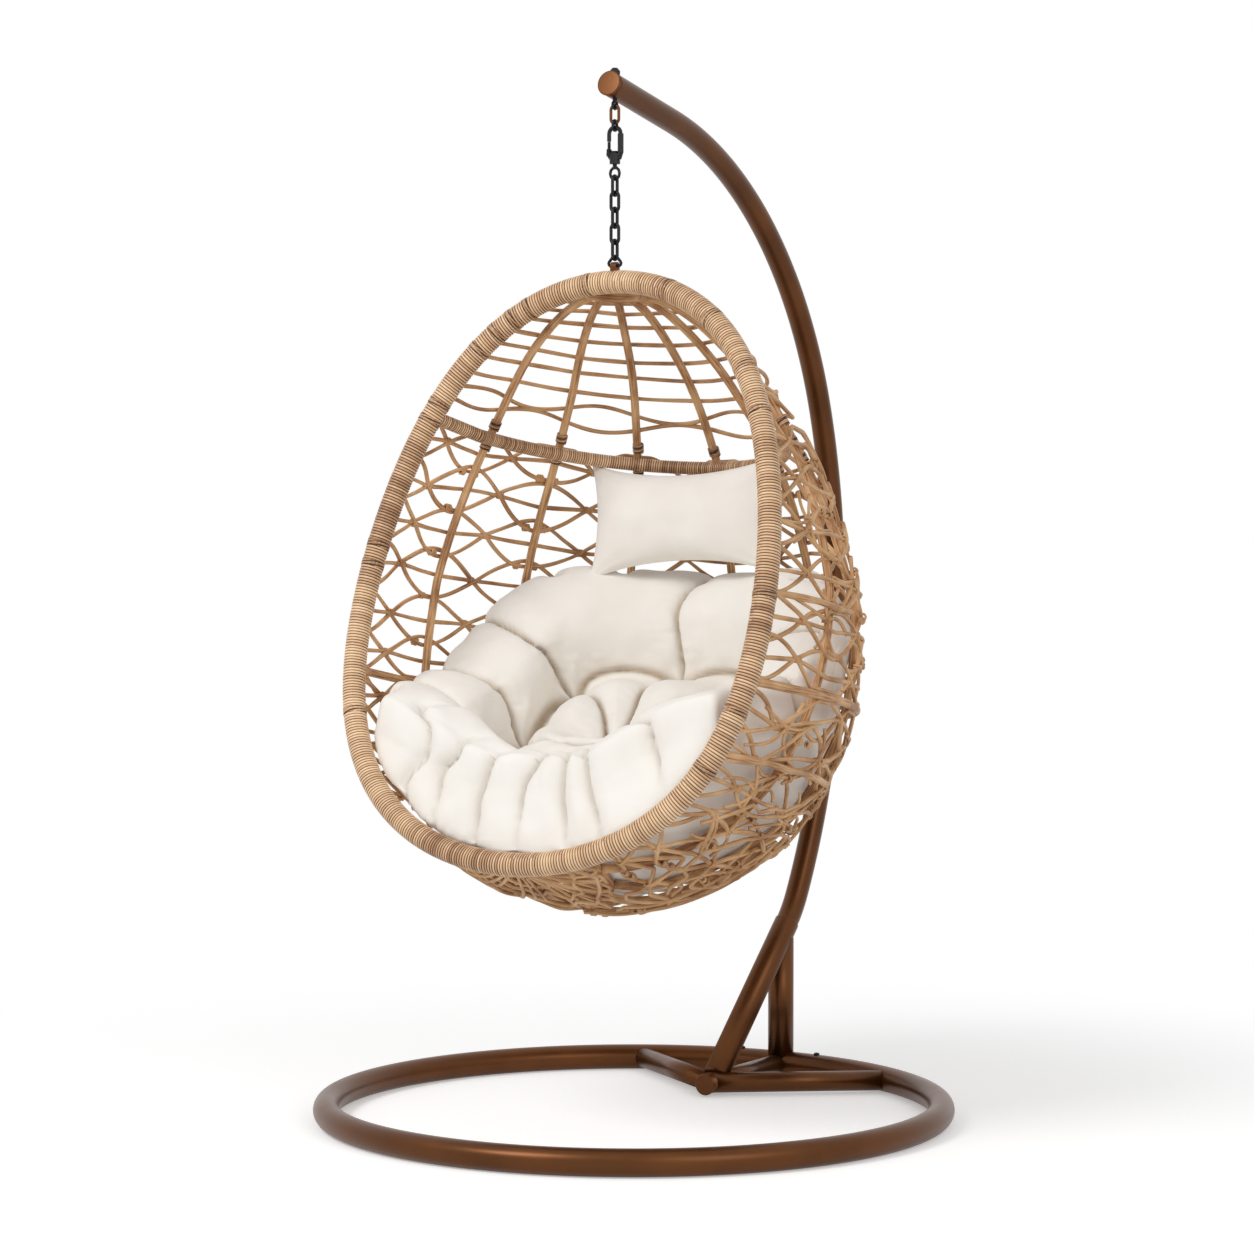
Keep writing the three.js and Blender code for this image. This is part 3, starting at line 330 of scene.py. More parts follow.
# The vertices, faces and uvs of a round sweep. Its radius is one size, one for each point of the path, or
# a function of the length and the angle. A winding's uvs count its turns of the given length.
def sweepParts(path, radius, sides, closed=False, turnLength=1):
    path = np.asarray(path, dtype=float)
    count = len(path)
    normals, sideways = pathFrames(path, closed)
    steps = np.linalg.norm(np.diff(path, axis=0), axis=1)
    lengths = np.concatenate([[0], np.cumsum(steps)])
    angles = np.arange(sides) / sides * 2 * math.pi
    if callable(radius):
        radii = radius(lengths[:, None], angles[None, :])
    else:
        radii = np.broadcast_to(np.asarray(radius, dtype=float).reshape(-1, 1), (count, sides))
    ring = np.cos(angles)[None, :, None] * normals[:, None, :]
    ring = ring + np.sin(angles)[None, :, None] * sideways[:, None, :]
    points = (path[:, None, :] + ring * radii[:, :, None]).reshape(-1, 3)
    faces, uvs = [], []
    for i in range(count if closed else count - 1):
        j = (i + 1) % count
        u0 = lengths[i] / turnLength
        u1 = (lengths[j] if j else lengths[i] + steps.mean()) / turnLength
        for k in range(sides):
            m = (k + 1) % sides
            faces.append((i * sides + k, i * sides + m, j * sides + m, j * sides + k))
            v0, v1 = k / sides, (k + 1) / sides
            uvs += [(u0, v0), (u0, v1), (u1, v1), (u1, v0)]
    if not closed:
        faces.append(tuple(range(sides - 1, -1, -1)))
        faces.append(tuple((count - 1) * sides + k for k in range(sides)))
        uvs += [(0.5, 0)] * (2 * sides)
    return points, faces, uvs


def joinParts(name, parts, material):
    points, faces, uvs, start = [], [], [], 0
    for somePoints, someFaces, someUvs in parts:
        points.append(somePoints)
        faces += [tuple(v + start for v in face) for face in someFaces]
        uvs += someUvs
        start += len(somePoints)
    return meshPiece(name, np.concatenate(points), faces, material, uvs)


# The same path with even steps of about the given length.
def resample(path, step, closed=False):
    path = np.asarray(path, dtype=float)
    if closed:
        path = np.vstack([path, path[:1]])
    lengths = np.concatenate([[0], np.cumsum(np.linalg.norm(np.diff(path, axis=0), axis=1))])
    count = max(int(round(lengths[-1] / step)), 2)
    wanted = np.linspace(0, lengths[-1], count + 1)
    if closed:
        wanted = wanted[:-1]
    return np.stack([np.interp(wanted, lengths, path[:, k]) for k in range(3)], 1)


def canePiece(name, node, parts, material):
    piece = joinParts(name, parts, material)
    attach(piece, "basket")
    if node:
        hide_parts(node)


def dress(node, material):
    nodes[node].data.materials.clear()
    nodes[node].data.materials.append(material)


# A smooth curve from one point to the next, with its slope at both; t runs from 0 to 1 over the width.
def smoothStep(t, start, startSlope, end, endSlope, width=1):
    return ((2 * t ** 3 - 3 * t ** 2 + 1) * start + (t ** 3 - 2 * t ** 2 + t) * width * startSlope
            + (-2 * t ** 3 + 3 * t ** 2) * end + (t ** 3 - t ** 2) * width * endSlope)


# The basket's surface, in mm from the middle of the floor ring. A level runs from 0 at the rim's top to
# 180 at its foot, and a turn from 0 at the right of the rim round the back to 180. The points of back are
# the depth and the height of the rearmost line, from where the basket hangs.
basket = {
    "hangY": -66, "topZ": 1520, "length": 1076, "tilt": 18.9, "halfWidth": 409, "taper": 0.113,
    "fullness": 0.16,
    "back": [(0, 0), (121, -38), (274, -163), (394, -332), (439, -506), (471, -705), (444, -882),
             (319, -1055), (-41, -1132), (-349, -1018)],
    "roundness": 1.6, "squareness": 1.9, "squareLevel": 70, "bulge": 0.38, "bulgeLevel": 45, "slopeStep": 0.5,
}


def rimAt(level):
    angle = np.radians(level)
    along = basket["length"] / 2 * (1 - np.cos(angle))
    shape = 1 - basket["taper"] * np.cos(angle) + basket["fullness"] * np.cos(angle) ** 2
    tilt = math.radians(basket["tilt"])
    half = basket["halfWidth"] * np.sin(angle) * shape
    return half, basket["hangY"] - along * math.sin(tilt), basket["topZ"] - along * math.cos(tilt)


def backAt(level):
    knots = np.array(basket["back"], dtype=float) + [basket["hangY"], basket["topZ"]]
    knots = np.vstack([2 * knots[0] - knots[1], knots, 2 * knots[-1] - knots[-2]])
    spot = np.clip(np.asarray(level, dtype=float) / 180, 0, 1) * (len(basket["back"]) - 1)
    span = np.minimum(spot.astype(int), len(basket["back"]) - 2)
    before, start, end, after = (knots[span + k] for k in range(4))
    return smoothStep((spot - span)[..., None], start, (end - before) / 2, end, (after - start) / 2)


# How square the basket's section is at a level, and how much it bulges past the rim.
def sectionAt(level):
    squarer = (basket["squareness"] - basket["roundness"]) * np.minimum(level / basket["squareLevel"], 1)
    bulge = basket["bulge"] * np.clip((level - basket["bulgeLevel"]) / basket["bulgeLevel"], 0, 1)
    return basket["roundness"] + squarer, bulge


def shellPoint(level, turn):
    level, turn = np.broadcast_arrays(np.asarray(level, dtype=float), np.asarray(turn, dtype=float))
    half, y, z = rimAt(level)
    back = backAt(level)
    squareness, bulge = sectionAt(level)
    cosine = np.cos(np.radians(turn))
    depth = np.maximum(np.sin(np.radians(turn)), 0) ** (2 / squareness)
    x = half * np.sign(cosine) * np.abs(cosine) ** (2 / squareness) * (1 + bulge * depth)
    return np.stack([x, y + (back[..., 0] - y) * depth, z + (back[..., 1] - z) * depth], -1)


def shellNormal(level, turn):
    step = basket["slopeStep"]
    across = shellPoint(level, np.minimum(turn + step, 180)) - shellPoint(level, np.maximum(turn - step, 0))
    down = shellPoint(np.minimum(level + step, 180), turn) - shellPoint(np.maximum(level - step, 0), turn)
    normal = -np.cross(across, down)
    return normal / np.maximum(np.linalg.norm(normal, axis=-1), 1e-9)[..., None]


# The turn for each level and share of the way across, from a table.
tableLevels = np.arange(0.5, 180.0, 1.0)
tableShares = np.linspace(0, 1, 241)
turnTable = []
for tableLevel in tableLevels:
    turns = np.linspace(0, 180, 361)
    line = shellPoint(tableLevel, turns)
    lengths = np.concatenate([[0], np.cumsum(np.linalg.norm(np.diff(line, axis=0), axis=1))])
    turnTable.append(np.interp(tableShares * lengths[-1], lengths, turns))
turnTable = np.array(turnTable)


def turnAt(level, share):
    level, share = np.broadcast_arrays(np.asarray(level, dtype=float), np.asarray(share, dtype=float))
    row = np.clip((level - tableLevels[0]), 0, len(tableLevels) - 1.001)
    column = np.clip(share * (len(tableShares) - 1), 0, len(tableShares) - 1.001)
    i, j = row.astype(int), column.astype(int)
    fi, fj = row - i, column - j
    return ((1 - fi) * ((1 - fj) * turnTable[i, j] + fj * turnTable[i, j + 1])
            + fi * ((1 - fj) * turnTable[i + 1, j] + fj * turnTable[i + 1, j + 1]))


# A point on the basket's surface, or so far outward of it, at a level and a share of the way across.
def onShell(level, share, outward=0.0):
    turn = turnAt(level, share)
    out = np.broadcast_to(outward, np.shape(turn))[..., None]
    return toFrame(shellPoint(level, turn) + shellNormal(level, turn) * out)


# The points of a line that lie further than reach from the middle of the rim at their level.
def clearOfRim(level, points, reach):
    half, y, z = rimAt(level)
    keep = np.ones(len(points), dtype=bool)
    for sign in (-1, 1):
        end = toFrame(np.stack([sign * half, y, z], -1))
        keep &= np.linalg.norm(points - end, axis=1) > reach / 1000
    return points[keep]


# Falls to 0 over a short way at both ends of a line that runs across.
def endFade(share, steepness):
    return np.minimum(np.minimum(share, 1 - share) * steepness, 1)


# The wrapped rim: split cane wound round its tube in two halves that start beside the lug
rimWrap = {"pitchMm": 5.3, "radiusMm": 21.0, "grooveMm": 2.1, "samples": 7, "sides": 20, "start": 0.15,
           "end": 179.9}


def windingRadius(radiusMm, pitchMm, grooveMm):
    def radiusAt(length, angle):
        inTurn = (length / (pitchMm / 1000) + angle / (2 * math.pi)) % 1.0
        return (radiusMm - grooveMm * (1 - np.sin(inTurn * math.pi) ** 0.6)) / 1000
    return radiusAt


def rimLine(start, end, steps=400):
    level = np.linspace(start, end, steps + 1)
    half, y, z = rimAt(np.abs(level))
    return toFrame(np.stack([np.sign(level) * half, y, z], -1))


pitch = rimWrap["pitchMm"] / 1000
for side, name in ((-1, "left"), (1, "right")):
    path = resample(rimLine(side * rimWrap["start"], side * rimWrap["end"]), pitch / rimWrap["samples"])
    shape = windingRadius(rimWrap["radiusMm"], rimWrap["pitchMm"], rimWrap["grooveMm"])
    winding = sweepParts(path, shape, rimWrap["sides"], turnLength=pitch)
    canePiece(f"rimWrap{name.title()}", f"rim_wrap_{name}", [winding], rimCane)
print("stage: rim wound")


# Hoops and ribs: radii and steps in mm, levels as on the basket
poles = {
    "rib": 8.0, "upperHoop": 12.6, "upperSpace": 13, "hoop": 7.8, "endHoop": 9.6, "strand": 4.0,
    "allowance": 3.0, "upperLevel": 57.9, "lowerLevel": 111.4, "crownLevel": 8.5, "baseLevel": 166.0,
    "endFade": 12, "wrapPitchMm": 4.6, "wrapGrooveMm": 1.1, "wrapSamples": 5, "stepMm": 8,
    "hoopSides": 16, "ribSides": 14, "hoopInRim": 9, "upperInRim": 12, "hoopWobbleMm": 0.4,
    "ribWobbleMm": 0.8,
}
ribDepth = poles["strand"] + poles["rib"] + poles["allowance"]


# Smooth random offsets along a line.
def wobble(count, size, smoothness):
    noise = rng.normal(size=(count + 8 * smoothness, 3))
    kernel = np.hanning(4 * smoothness + 1)
    kernel /= np.sqrt((kernel ** 2).sum())
    smooth = np.stack([np.convolve(noise[:, k], kernel, "same") for k in range(3)], 1)
    return smooth[4 * smoothness:4 * smoothness + count] * size


# Random values at evenly spaced knots, joined by straight lines.
def smoothNoise(share, knots, size):
    values = rng.normal(size=knots) * size
    return np.interp(share, np.linspace(0, 1, knots), values)


# A line from rim to rim at one level, which ends that far inside the rim's winding.
def hoopLine(level, outward, inRim):
    share = np.linspace(0, 1, 161)
    line = onShell(level, share, outward * endFade(share, poles["endFade"]))
    return clearOfRim(level, line, rimWrap["radiusMm"] - inRim)


for name, radius, outward in (("crown", poles["endHoop"], -ribDepth), ("base", poles["endHoop"], -ribDepth),
                              ("lower", poles["hoop"], poles["hoop"] - poles["strand"])):
    level = poles[f"{name}Level"]
    line = resample(hoopLine(level, outward, poles["hoopInRim"]), poles["stepMm"] / 1000)
    line = line + wobble(len(line), poles["hoopWobbleMm"] / 1000, 6)
    canePiece(f"{name}Hoop", f"hoop_{name}", [sweepParts(line, radius / 1000, poles["hoopSides"])], ribCane)

upperDepth = ribDepth + poles["rib"] + poles["upperSpace"] + poles["allowance"]
hoopPitch = poles["wrapPitchMm"] / 1000
line = hoopLine(poles["upperLevel"], -upperDepth, poles["upperInRim"])
line = resample(line, hoopPitch / poles["wrapSamples"])
shape = windingRadius(poles["upperHoop"], poles["wrapPitchMm"], poles["wrapGrooveMm"])
winding = sweepParts(line, shape, poles["hoopSides"], turnLength=hoopPitch)
canePiece("upperHoop", "hoop_upper", [winding], hoopCane)

# Each rib is a whole pole with slightly swollen joints, in m along it, which start further on at the next rib
ribJoints = {"spacing": 0.24, "shift": 0.05, "width": 0.006, "swell": 0.06, "between": 0.97, "fromCrown": 1.2,
             "toBase": 0.9}
for rib in range(1, 8):
    step = poles["stepMm"] / 1000
    top, foot = poles["crownLevel"] + ribJoints["fromCrown"], poles["baseLevel"] - ribJoints["toBase"]
    level = np.linspace(top, foot, 160)
    line = resample(onShell(level, rib / 8, -ribDepth), step)
    line = line + wobble(len(line), poles["ribWobbleMm"] / 1000, 8)
    along = np.arange(len(line)) * step + rib * ribJoints["shift"]
    fromJoint = np.abs((along / ribJoints["spacing"] + 0.5) % 1.0 - 0.5) * ribJoints["spacing"]
    swelling = ribJoints["swell"] * np.exp(-(fromJoint / ribJoints["width"]) ** 2)
    radius = poles["rib"] / 1000 * (ribJoints["between"] + swelling)
    canePiece(f"rib{rib}", f"rib_{rib}", [sweepParts(line, radius, poles["ribSides"])], ribCane)

# Bindings: ties on each rib above and below the upper hoop, and darker rings round the rim at given levels
bindings = {
    "tieTurns": 5, "tieWireMm": 1.7, "tieOffMm": 1.2, "tieLevels": (-2.4, 2.4), "rimWireMm": 1.5,
    "rimTurns": 4, "rimSunkMm": 0.9, "stepsPerTurn": 16, "sides": 8, "closeness": 2.05,
    "patternLength": 0.09, "left": [7, 24, 29, 34, 40, 55, 59, 86, 90, 121],
    "right": [16, 31, 47, 58, 95, 118, 131],
}


# A close coil round a line.
def coilPart(centre, axis, radiusMm, wireMm, turns):
    axis = axis / np.linalg.norm(axis)
    side = np.cross(axis, [0.31, 0.52, 0.79])
    side /= np.linalg.norm(side)
    other = np.cross(axis, side)
    t = np.linspace(0, 1, int(turns * bindings["stepsPerTurn"]) + 1)
    angle = t * turns * 2 * math.pi
    drift = (t - 0.5) * turns * wireMm * bindings["closeness"] / 1000
    line = (centre + axis * drift[:, None] + side * (np.cos(angle) * radiusMm / 1000)[:, None]
            + other * (np.sin(angle) * radiusMm / 1000)[:, None])
    return sweepParts(line, wireMm / 1000, bindings["sides"], turnLength=bindings["patternLength"])


ties = []
for rib in range(1, 8):
    for shift in bindings["tieLevels"]:
        here, ahead = (onShell(poles["upperLevel"] + shift + more, rib / 8, -ribDepth) for more in (0, 0.6))
        ties.append(coilPart(here, ahead - here, poles["rib"] + bindings["tieOffMm"], bindings["tieWireMm"],
                             bindings["tieTurns"]))
for side, levels in ((-1, bindings["left"]), (1, bindings["right"])):
    for level in levels:
        line = rimLine(side * level, side * (level + 0.5), 2)
        ties.append(coilPart(line[0], line[2] - line[0], rimWrap["radiusMm"] - bindings["rimSunkMm"],
                             bindings["rimWireMm"], bindings["rimTurns"]))
canePiece("bindings", None, ties, tieCane)
print("stage: hoops and ribs")


# A natural strand along the given points: slightly crooked, and never quite of one thickness.
def strandAlong(points, radiusMm, settings):
    line = resample(points, settings["stepMm"] / 1000)
    line = line + wobble(len(line), settings["wobbleMm"] / 1000, settings["smoothness"])
    radius = radiusMm / 1000 * (1 + settings["uneven"] * wobble(len(line), 1.0, 5)[:, 0])
    return sweepParts(line, radius, settings["sides"])


# Level strands of the dome. The lowest two also wave past each other, by so many levels and mm outward.
dome = {
    "levels": [15, 19, 23, 27.5, 32, 36.5, 41, 45.5, 49.5, 52.5], "drift": 0.3, "driftFade": 10,
    "waves": {8: (1.3, 0), 9: (-1.3, 3.6)}, "halfWaves": 8, "waveFade": 8, "radiusMm": 3.9, "inRim": 2,
    "stepMm": 6, "wobbleMm": 0.4, "smoothness": 6, "uneven": 0.06, "sides": 10,
}
for i, level in enumerate(dome["levels"]):
    share = np.linspace(0, 1, 141)
    drift = smoothNoise(share, 9, dome["drift"]) * endFade(share, dome["driftFade"])
    rise, outward = dome["waves"].get(i, (0, 0))
    angle, fade = share * dome["halfWaves"] * math.pi, endFade(share, dome["waveFade"])
    line = onShell(level + drift + rise * np.sin(angle) * fade, share, outward * np.cos(angle) * fade)
    line = clearOfRim(level, line, rimWrap["radiusMm"] - dome["inRim"])
    canePiece(f"domeStrand{i + 1}", f"dome_strand_{i + 1}", [strandAlong(line, dome["radiusMm"], dome)], cane)
print("stage: dome strands")


# The woven skin. Each row has a straight weft with two waving strands that cross it at each knot. Stars are
# (level, share of the way across), thick strands (level, start, end, radius in mm).
weave = {
    "upper": {
        "first": 62.4, "pitch": 8.9, "rows": 6, "low": 58.6, "high": 110.4, "shake": 0.5, "loose": 0,
        "foot": None,
        "stars": [(79, 0.07), (97, 0.1), (88, 0.17), (104, 0.2)], "thick": [(94, -0.01, 0.16, 6.0)],
    },
    "lower": {
        "first": 116.2, "pitch": 8.4, "rows": 6, "low": 112.4, "high": 163.5, "shake": 1.6, "loose": 24,
        "foot": {"high": 178.5, "levels": [167.5, 170.5, 173.5, 176.5], "shake": 0.7, "outwardMm": 1.5,
                 "zigzagLevel": 171.5, "zigzagReach": 6.0, "zigzags": 5.5, "phases": [0.0, 1.6, 3.2],
                 "zigzagShake": 0.8, "zigzagOutMm": 4.5, "zigzagRadiusMm": 3.4},
        "stars": [(119, 0.08), (124, 0.17), (133, 0.09), (137, 0.2), (143, 0.12), (149, 0.25), (148, 0.4),
                  (139, 0.32), (128, 0.28), (152, 0.55), (142, 0.7), (126, 0.85), (135, 0.9), (120, 0.72)],
        "thick": [(127, -0.01, 0.24, 6.8), (141, 0.3, 0.62, 5.5)],
    },
    "columns": 16, "swing": 0.54, "overMm": 4.2, "leastOverMm": 1.6, "deepestMm": 3.6, "radiusMm": 3.9,
    "thickOutMm": 3.5, "inRim": 1.5, "fade": 14, "stepMm": 6, "wobbleMm": 0.5, "smoothness": 4,
    "uneven": 0.07, "sides": 9,
}
knot = {"sizeMm": 5.8, "turns": 3.2, "radiusMm": 1.9, "lengthMm": 11, "flatness": 0.92, "steps": 26,
        "sides": 7, "outwardMm": 0.4, "pairOutMm": 0.6, "pairApart": 0.011}
star = {"reachLevels": 7.2, "reachShare": 0.052, "outwardMm": 3.2, "fallMm": 2.6, "liftMm": 0.4,
        "radiusMm": 3.1, "knotOutMm": 2.6}
loose = {"start": (0.02, 0.8), "width": (0.12, 0.3), "above": 12, "rise": (-16, 22), "bend": 6, "shake": 0.8,
         "outwardMm": (2.5, 6.0), "radiusMm": 3.5}


def strandPart(settings, level, share, outward, radiusMm=weave["radiusMm"]):
    level = np.clip(level, settings["low"], settings["high"])
    points = onShell(level, share, outward * endFade(share, weave["fade"]))
    points = clearOfRim(level, points, rimWrap["radiusMm"] - weave["inRim"])
    return strandAlong(points, radiusMm, weave) if len(points) > 3 else None


# A few turns of a thin strand round a knot, along the weft or, where tall, across it.
def knotPart(level, share, outward, tall=False):
    centre = onShell(level, share, outward)
    ahead = onShell(level, np.minimum(share + 0.004, 1), outward)
    axis = (ahead - centre) / np.linalg.norm(ahead - centre)
    out = shellNormal(level, turnAt(level, share))
    up = np.cross(axis, out)
    if tall:
        axis, up = up, axis
    t = np.linspace(0, 1, knot["steps"])
    angle = t * knot["turns"] * 2 * math.pi + rng.uniform(0, 6.28)
    size = knot["sizeMm"] / 1000 * rng.uniform(0.9, 1.12)
    length = knot["lengthMm"] / 1000 * rng.uniform(0.8, 1.3)
    line = (centre + axis * ((t - 0.5) * length)[:, None]
            + out * (np.cos(angle) * size * knot["flatness"])[:, None] + up * (np.sin(angle) * size)[:, None])
    return sweepParts(line, knot["radiusMm"] / 1000, knot["sides"])


def rowParts(settings, row):
    share = np.linspace(0, 1, 321)
    column = share * weave["columns"]
    weft = settings["first"] + row * settings["pitch"] + smoothNoise(share, 17, settings["shake"])
    parts = [strandPart(settings, weft, share, 0)]
    cell = np.cos(column * math.pi / 2)
    for sign in (-1, 1):
        own = smoothNoise(share, 25, settings["shake"] * 0.8)
        wave = weft + sign * weave["swing"] * settings["pitch"] * cell + own * np.abs(cell)
        # the two strands change sides at each knot, and their way through the skin is smoothed
        over = sign * weave["overMm"] * np.sin(column * math.pi / 4 + row)
        least = weave["leastOverMm"]
        outward = np.where(np.abs(over) < least, np.sign(over + 1e-6) * least, over)
        outward = np.convolve(np.pad(outward, 6, "edge"), np.ones(13) / 13, "valid")
        parts.append(strandPart(settings, wave, share, np.maximum(outward, -weave["deepestMm"])))
    for place in range(1, weave["columns"], 2):
        level, across = np.interp(place / weave["columns"], share, weft), place / weave["columns"]
        parts.append(knotPart(float(level), across + rng.normal() * 0.001, knot["outwardMm"]))
    for place in range(2, weave["columns"], 2):
        level = np.interp(place / weave["columns"], share, weft) + settings["pitch"] / 2
        if level < settings["high"] - 1.5:
            for shift in (-knot["pairApart"], knot["pairApart"]):
                across = place / weave["columns"] + shift
                parts.append(knotPart(float(level + rng.normal() * 0.2), across, knot["pairOutMm"]))
    return parts


# The foot of the basket is closed by level rounds and by zigzags that cross them.
def footParts(settings):
    foot = settings["foot"]
    share = np.linspace(0, 1, 321)
    within = dict(settings, high=foot["high"])
    parts = [strandPart(within, level + smoothNoise(share, 17, foot["shake"]), share, foot["outwardMm"])
             for level in foot["levels"]]
    for phase in foot["phases"]:
        zigzag = np.sin(share * 2 * math.pi * foot["zigzags"] + phase)
        level = (foot["zigzagLevel"] + foot["zigzagReach"] * zigzag
                 + smoothNoise(share, 23, foot["zigzagShake"]))
        parts.append(strandPart(within, level, share, foot["zigzagOutMm"] * np.cos(share * 30 + phase),
                                foot["zigzagRadiusMm"]))
    return parts


# Short strands that fan out from one knot.
def starParts(settings, level, middle):
    parts = []
    rays = int(rng.integers(5, 8))
    for k in range(rays):
        angle = (k + rng.uniform(-0.25, 0.25)) / rays * 2 * math.pi
        reach, bend = rng.uniform(0.75, 1.2), rng.uniform(-0.25, 0.25)
        part = np.linspace(0, 1, 24)
        bow = bend * np.sin(part * math.pi)
        rise = star["reachLevels"] * reach * (part * math.sin(angle) + bow * math.cos(angle))
        run = star["reachShare"] * reach * (part * math.cos(angle) - bow * math.sin(angle))
        outward = star["outwardMm"] - star["fallMm"] * part + star["liftMm"] * (k % 2)
        across = np.clip(middle + run, 0.004, 0.996)
        parts.append(strandPart(settings, level + rise, across, outward, star["radiusMm"]))
    return parts + [knotPart(float(level), middle, star["knotOutMm"], tall=True)]


# A strand laid slantwise over the others.
def loosePart(settings):
    start, width = rng.uniform(*loose["start"]), rng.uniform(*loose["width"])
    part = np.linspace(0, 1, 60)
    low = rng.uniform(settings["low"], settings["high"] - loose["above"])
    rise, bend = rng.uniform(*loose["rise"]), rng.uniform(-loose["bend"], loose["bend"])
    level = low + rise * part + bend * np.sin(part * math.pi) + smoothNoise(part, 7, loose["shake"])
    across = np.clip(start + part * width, 0.005, 0.995)
    return strandPart(settings, level, across, rng.uniform(*loose["outwardMm"]), loose["radiusMm"])


def weaveParts(settings):
    parts = []
    for row in range(settings["rows"]):
        parts += rowParts(settings, row)
    for level, start, end, radiusMm in settings["thick"]:
        across = np.clip(np.linspace(start, end, 60), 0.0, 1.0)
        level = level + smoothNoise(across, 5, 0.3)
        parts.append(strandPart(settings, level, across, weave["thickOutMm"], radiusMm))
    if settings["foot"]:
        parts += footParts(settings)
    for level, middle in settings["stars"]:
        parts += starParts(settings, level, middle)
    parts += [loosePart(settings) for _ in range(settings["loose"])]
    return [part for part in parts if part]


for name in ("upper", "lower"):
    canePiece(f"{name}Weave", f"weave_{name}", weaveParts(weave[name]), cane)
print("stage: woven skin")

dress("rim_tube", bronzePaint)
dress("lug", bronzePaint)

# The stand is round tube: smooth sweeps take the place of the faceted pieces. Sizes are in mm and degrees.
stand = {
    "ringRadius": 560, "ringTube": 24, "ringGap": 0.3, "ringSteps": 288, "intoRing": 12, "frameTube": 19,
    "frameFront": 262, "chordNode": 287, "chordAngle": 29, "braceTube": 24, "braceAngle": 43,
    "mouthY": 583, "mouthZ": 298, "footCut": 38, "postTube": 25, "postFoot": 8, "postTop": 270.5,
    "armTube": 22, "insert": 120, "bends": [(220, 16.7), (1159, 49.1), (792, 59.1)], "armStep": 12,
    "nose": 226, "sides": 48, "capThick": 3, "armCapOver": 1, "footCapOver": 1.5, "capGap": 0.3,
    "capEdge": [(1.2, 0), (0.5, 0.5), (0.1, 1.3), (0, 2.4)],
}


def steelPiece(name, node, line, radiusMm, material=bronzePaint, body="stand", sides=stand["sides"],
               closed=False):
    line = toFrame(np.array(line, dtype=float))
    piece = joinParts(name, [sweepParts(line, np.array(radiusMm) / 1000, sides, closed)], material)
    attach(piece, body)
    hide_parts(node)


# The middle line of the arm, and the way its nose points.
def armLine(settings):
    heading = math.radians(settings["braceAngle"])
    way = np.array([0, math.cos(heading), math.sin(heading)])
    at = np.array([0.0, settings["mouthY"], settings["mouthZ"]])
    points = [at - way * settings["insert"], at]
    for radius, sweep in settings["bends"]:
        centre = at + radius * np.array([0, -math.sin(heading), math.cos(heading)])
        steps = int(radius * math.radians(sweep) / settings["armStep"])
        for i in range(1, steps + 1):
            angle = heading + math.radians(sweep) * i / steps
            points.append(centre + radius * np.array([0, math.sin(angle), -math.cos(angle)]))
        heading += math.radians(sweep)
        at = points[-1]
    way = np.array([0, math.cos(heading), math.sin(heading)])
    points.append(at + settings["nose"] * way)
    return points, way


def around(radius, start, end, steps, height):
    angle = np.radians(np.linspace(start, end, steps + 1))
    return np.stack([radius * np.cos(angle), radius * np.sin(angle), height + 0 * angle], 1)


gapTurn = math.degrees(stand["ringGap"] / stand["ringRadius"])
frameZ = stand["ringTube"]
ringLine = around(stand["ringRadius"], 90 + gapTurn, 450 - gapTurn, stand["ringSteps"], frameZ)
steelPiece("floorRing", "base_ring", ringLine, stand["ringTube"])
inner = stand["ringRadius"] - stand["intoRing"]
footLine = [(0, stand["frameFront"], frameZ), (0, inner, frameZ)]
steelPiece("footBar", "stretcher", footLine, stand["frameTube"])
for side, name in ((-1, "left"), (1, "right")):
    turn = math.radians(90 - side * stand["chordAngle"])
    chordLine = [(0, stand["chordNode"], frameZ), (inner * math.cos(turn), inner * math.sin(turn), frameZ)]
    steelPiece(f"chord{name.title()}", f"chord_{name}", chordLine, stand["frameTube"])
lean = math.radians(stand["braceAngle"])
way = np.array([0, math.cos(lean), math.sin(lean)])
mouth = np.array([0, stand["mouthY"], stand["mouthZ"]])
foot = mouth - way * (stand["mouthZ"] - stand["footCut"]) / way[2]
steelPiece("slantTube", "brace", [foot, mouth - way * 2, mouth], stand["braceTube"])
postLine = [(0, stand["ringRadius"], frameZ + stand["postFoot"]), (0, stand["ringRadius"], stand["postTop"])]
steelPiece("upright", "post", postLine, stand["postTube"])
armPoints, noseWay = armLine(stand)
steelPiece("curvedArm", "arm", resample(np.array(armPoints), stand["armStep"]), stand["armTube"])


# A disc with a rounded rim on the end of a tube.
def capPiece(name, node, centre, direction, radiusMm):
    edge = [(stand["capThick"] - depth, radiusMm - inset) for depth, inset in stand["capEdge"]]
    steps, radii = zip((stand["capGap"], radiusMm), *edge)
    line = [np.array(centre, dtype=float) + np.array(direction, dtype=float) * step for step in steps]
    steelPiece(name, node, line, radii)


capPiece("armEnd", "arm_cap", armPoints[-1], noseWay, stand["armTube"] + stand["armCapOver"])
capPiece("footEnd", "stretcher_cap", footLine[0], (0, -1, 0), stand["frameTube"] + stand["footCapOver"])
print("stage: stand")

gear = {"hangerWire": 2.75, "hangerHalf": 8.25, "smallWire": 2.5, "smallHalf": 7.0, "chainWire": 3.0,
        "chainHalf": 8.0, "stepMm": 1.6, "sides": 16}


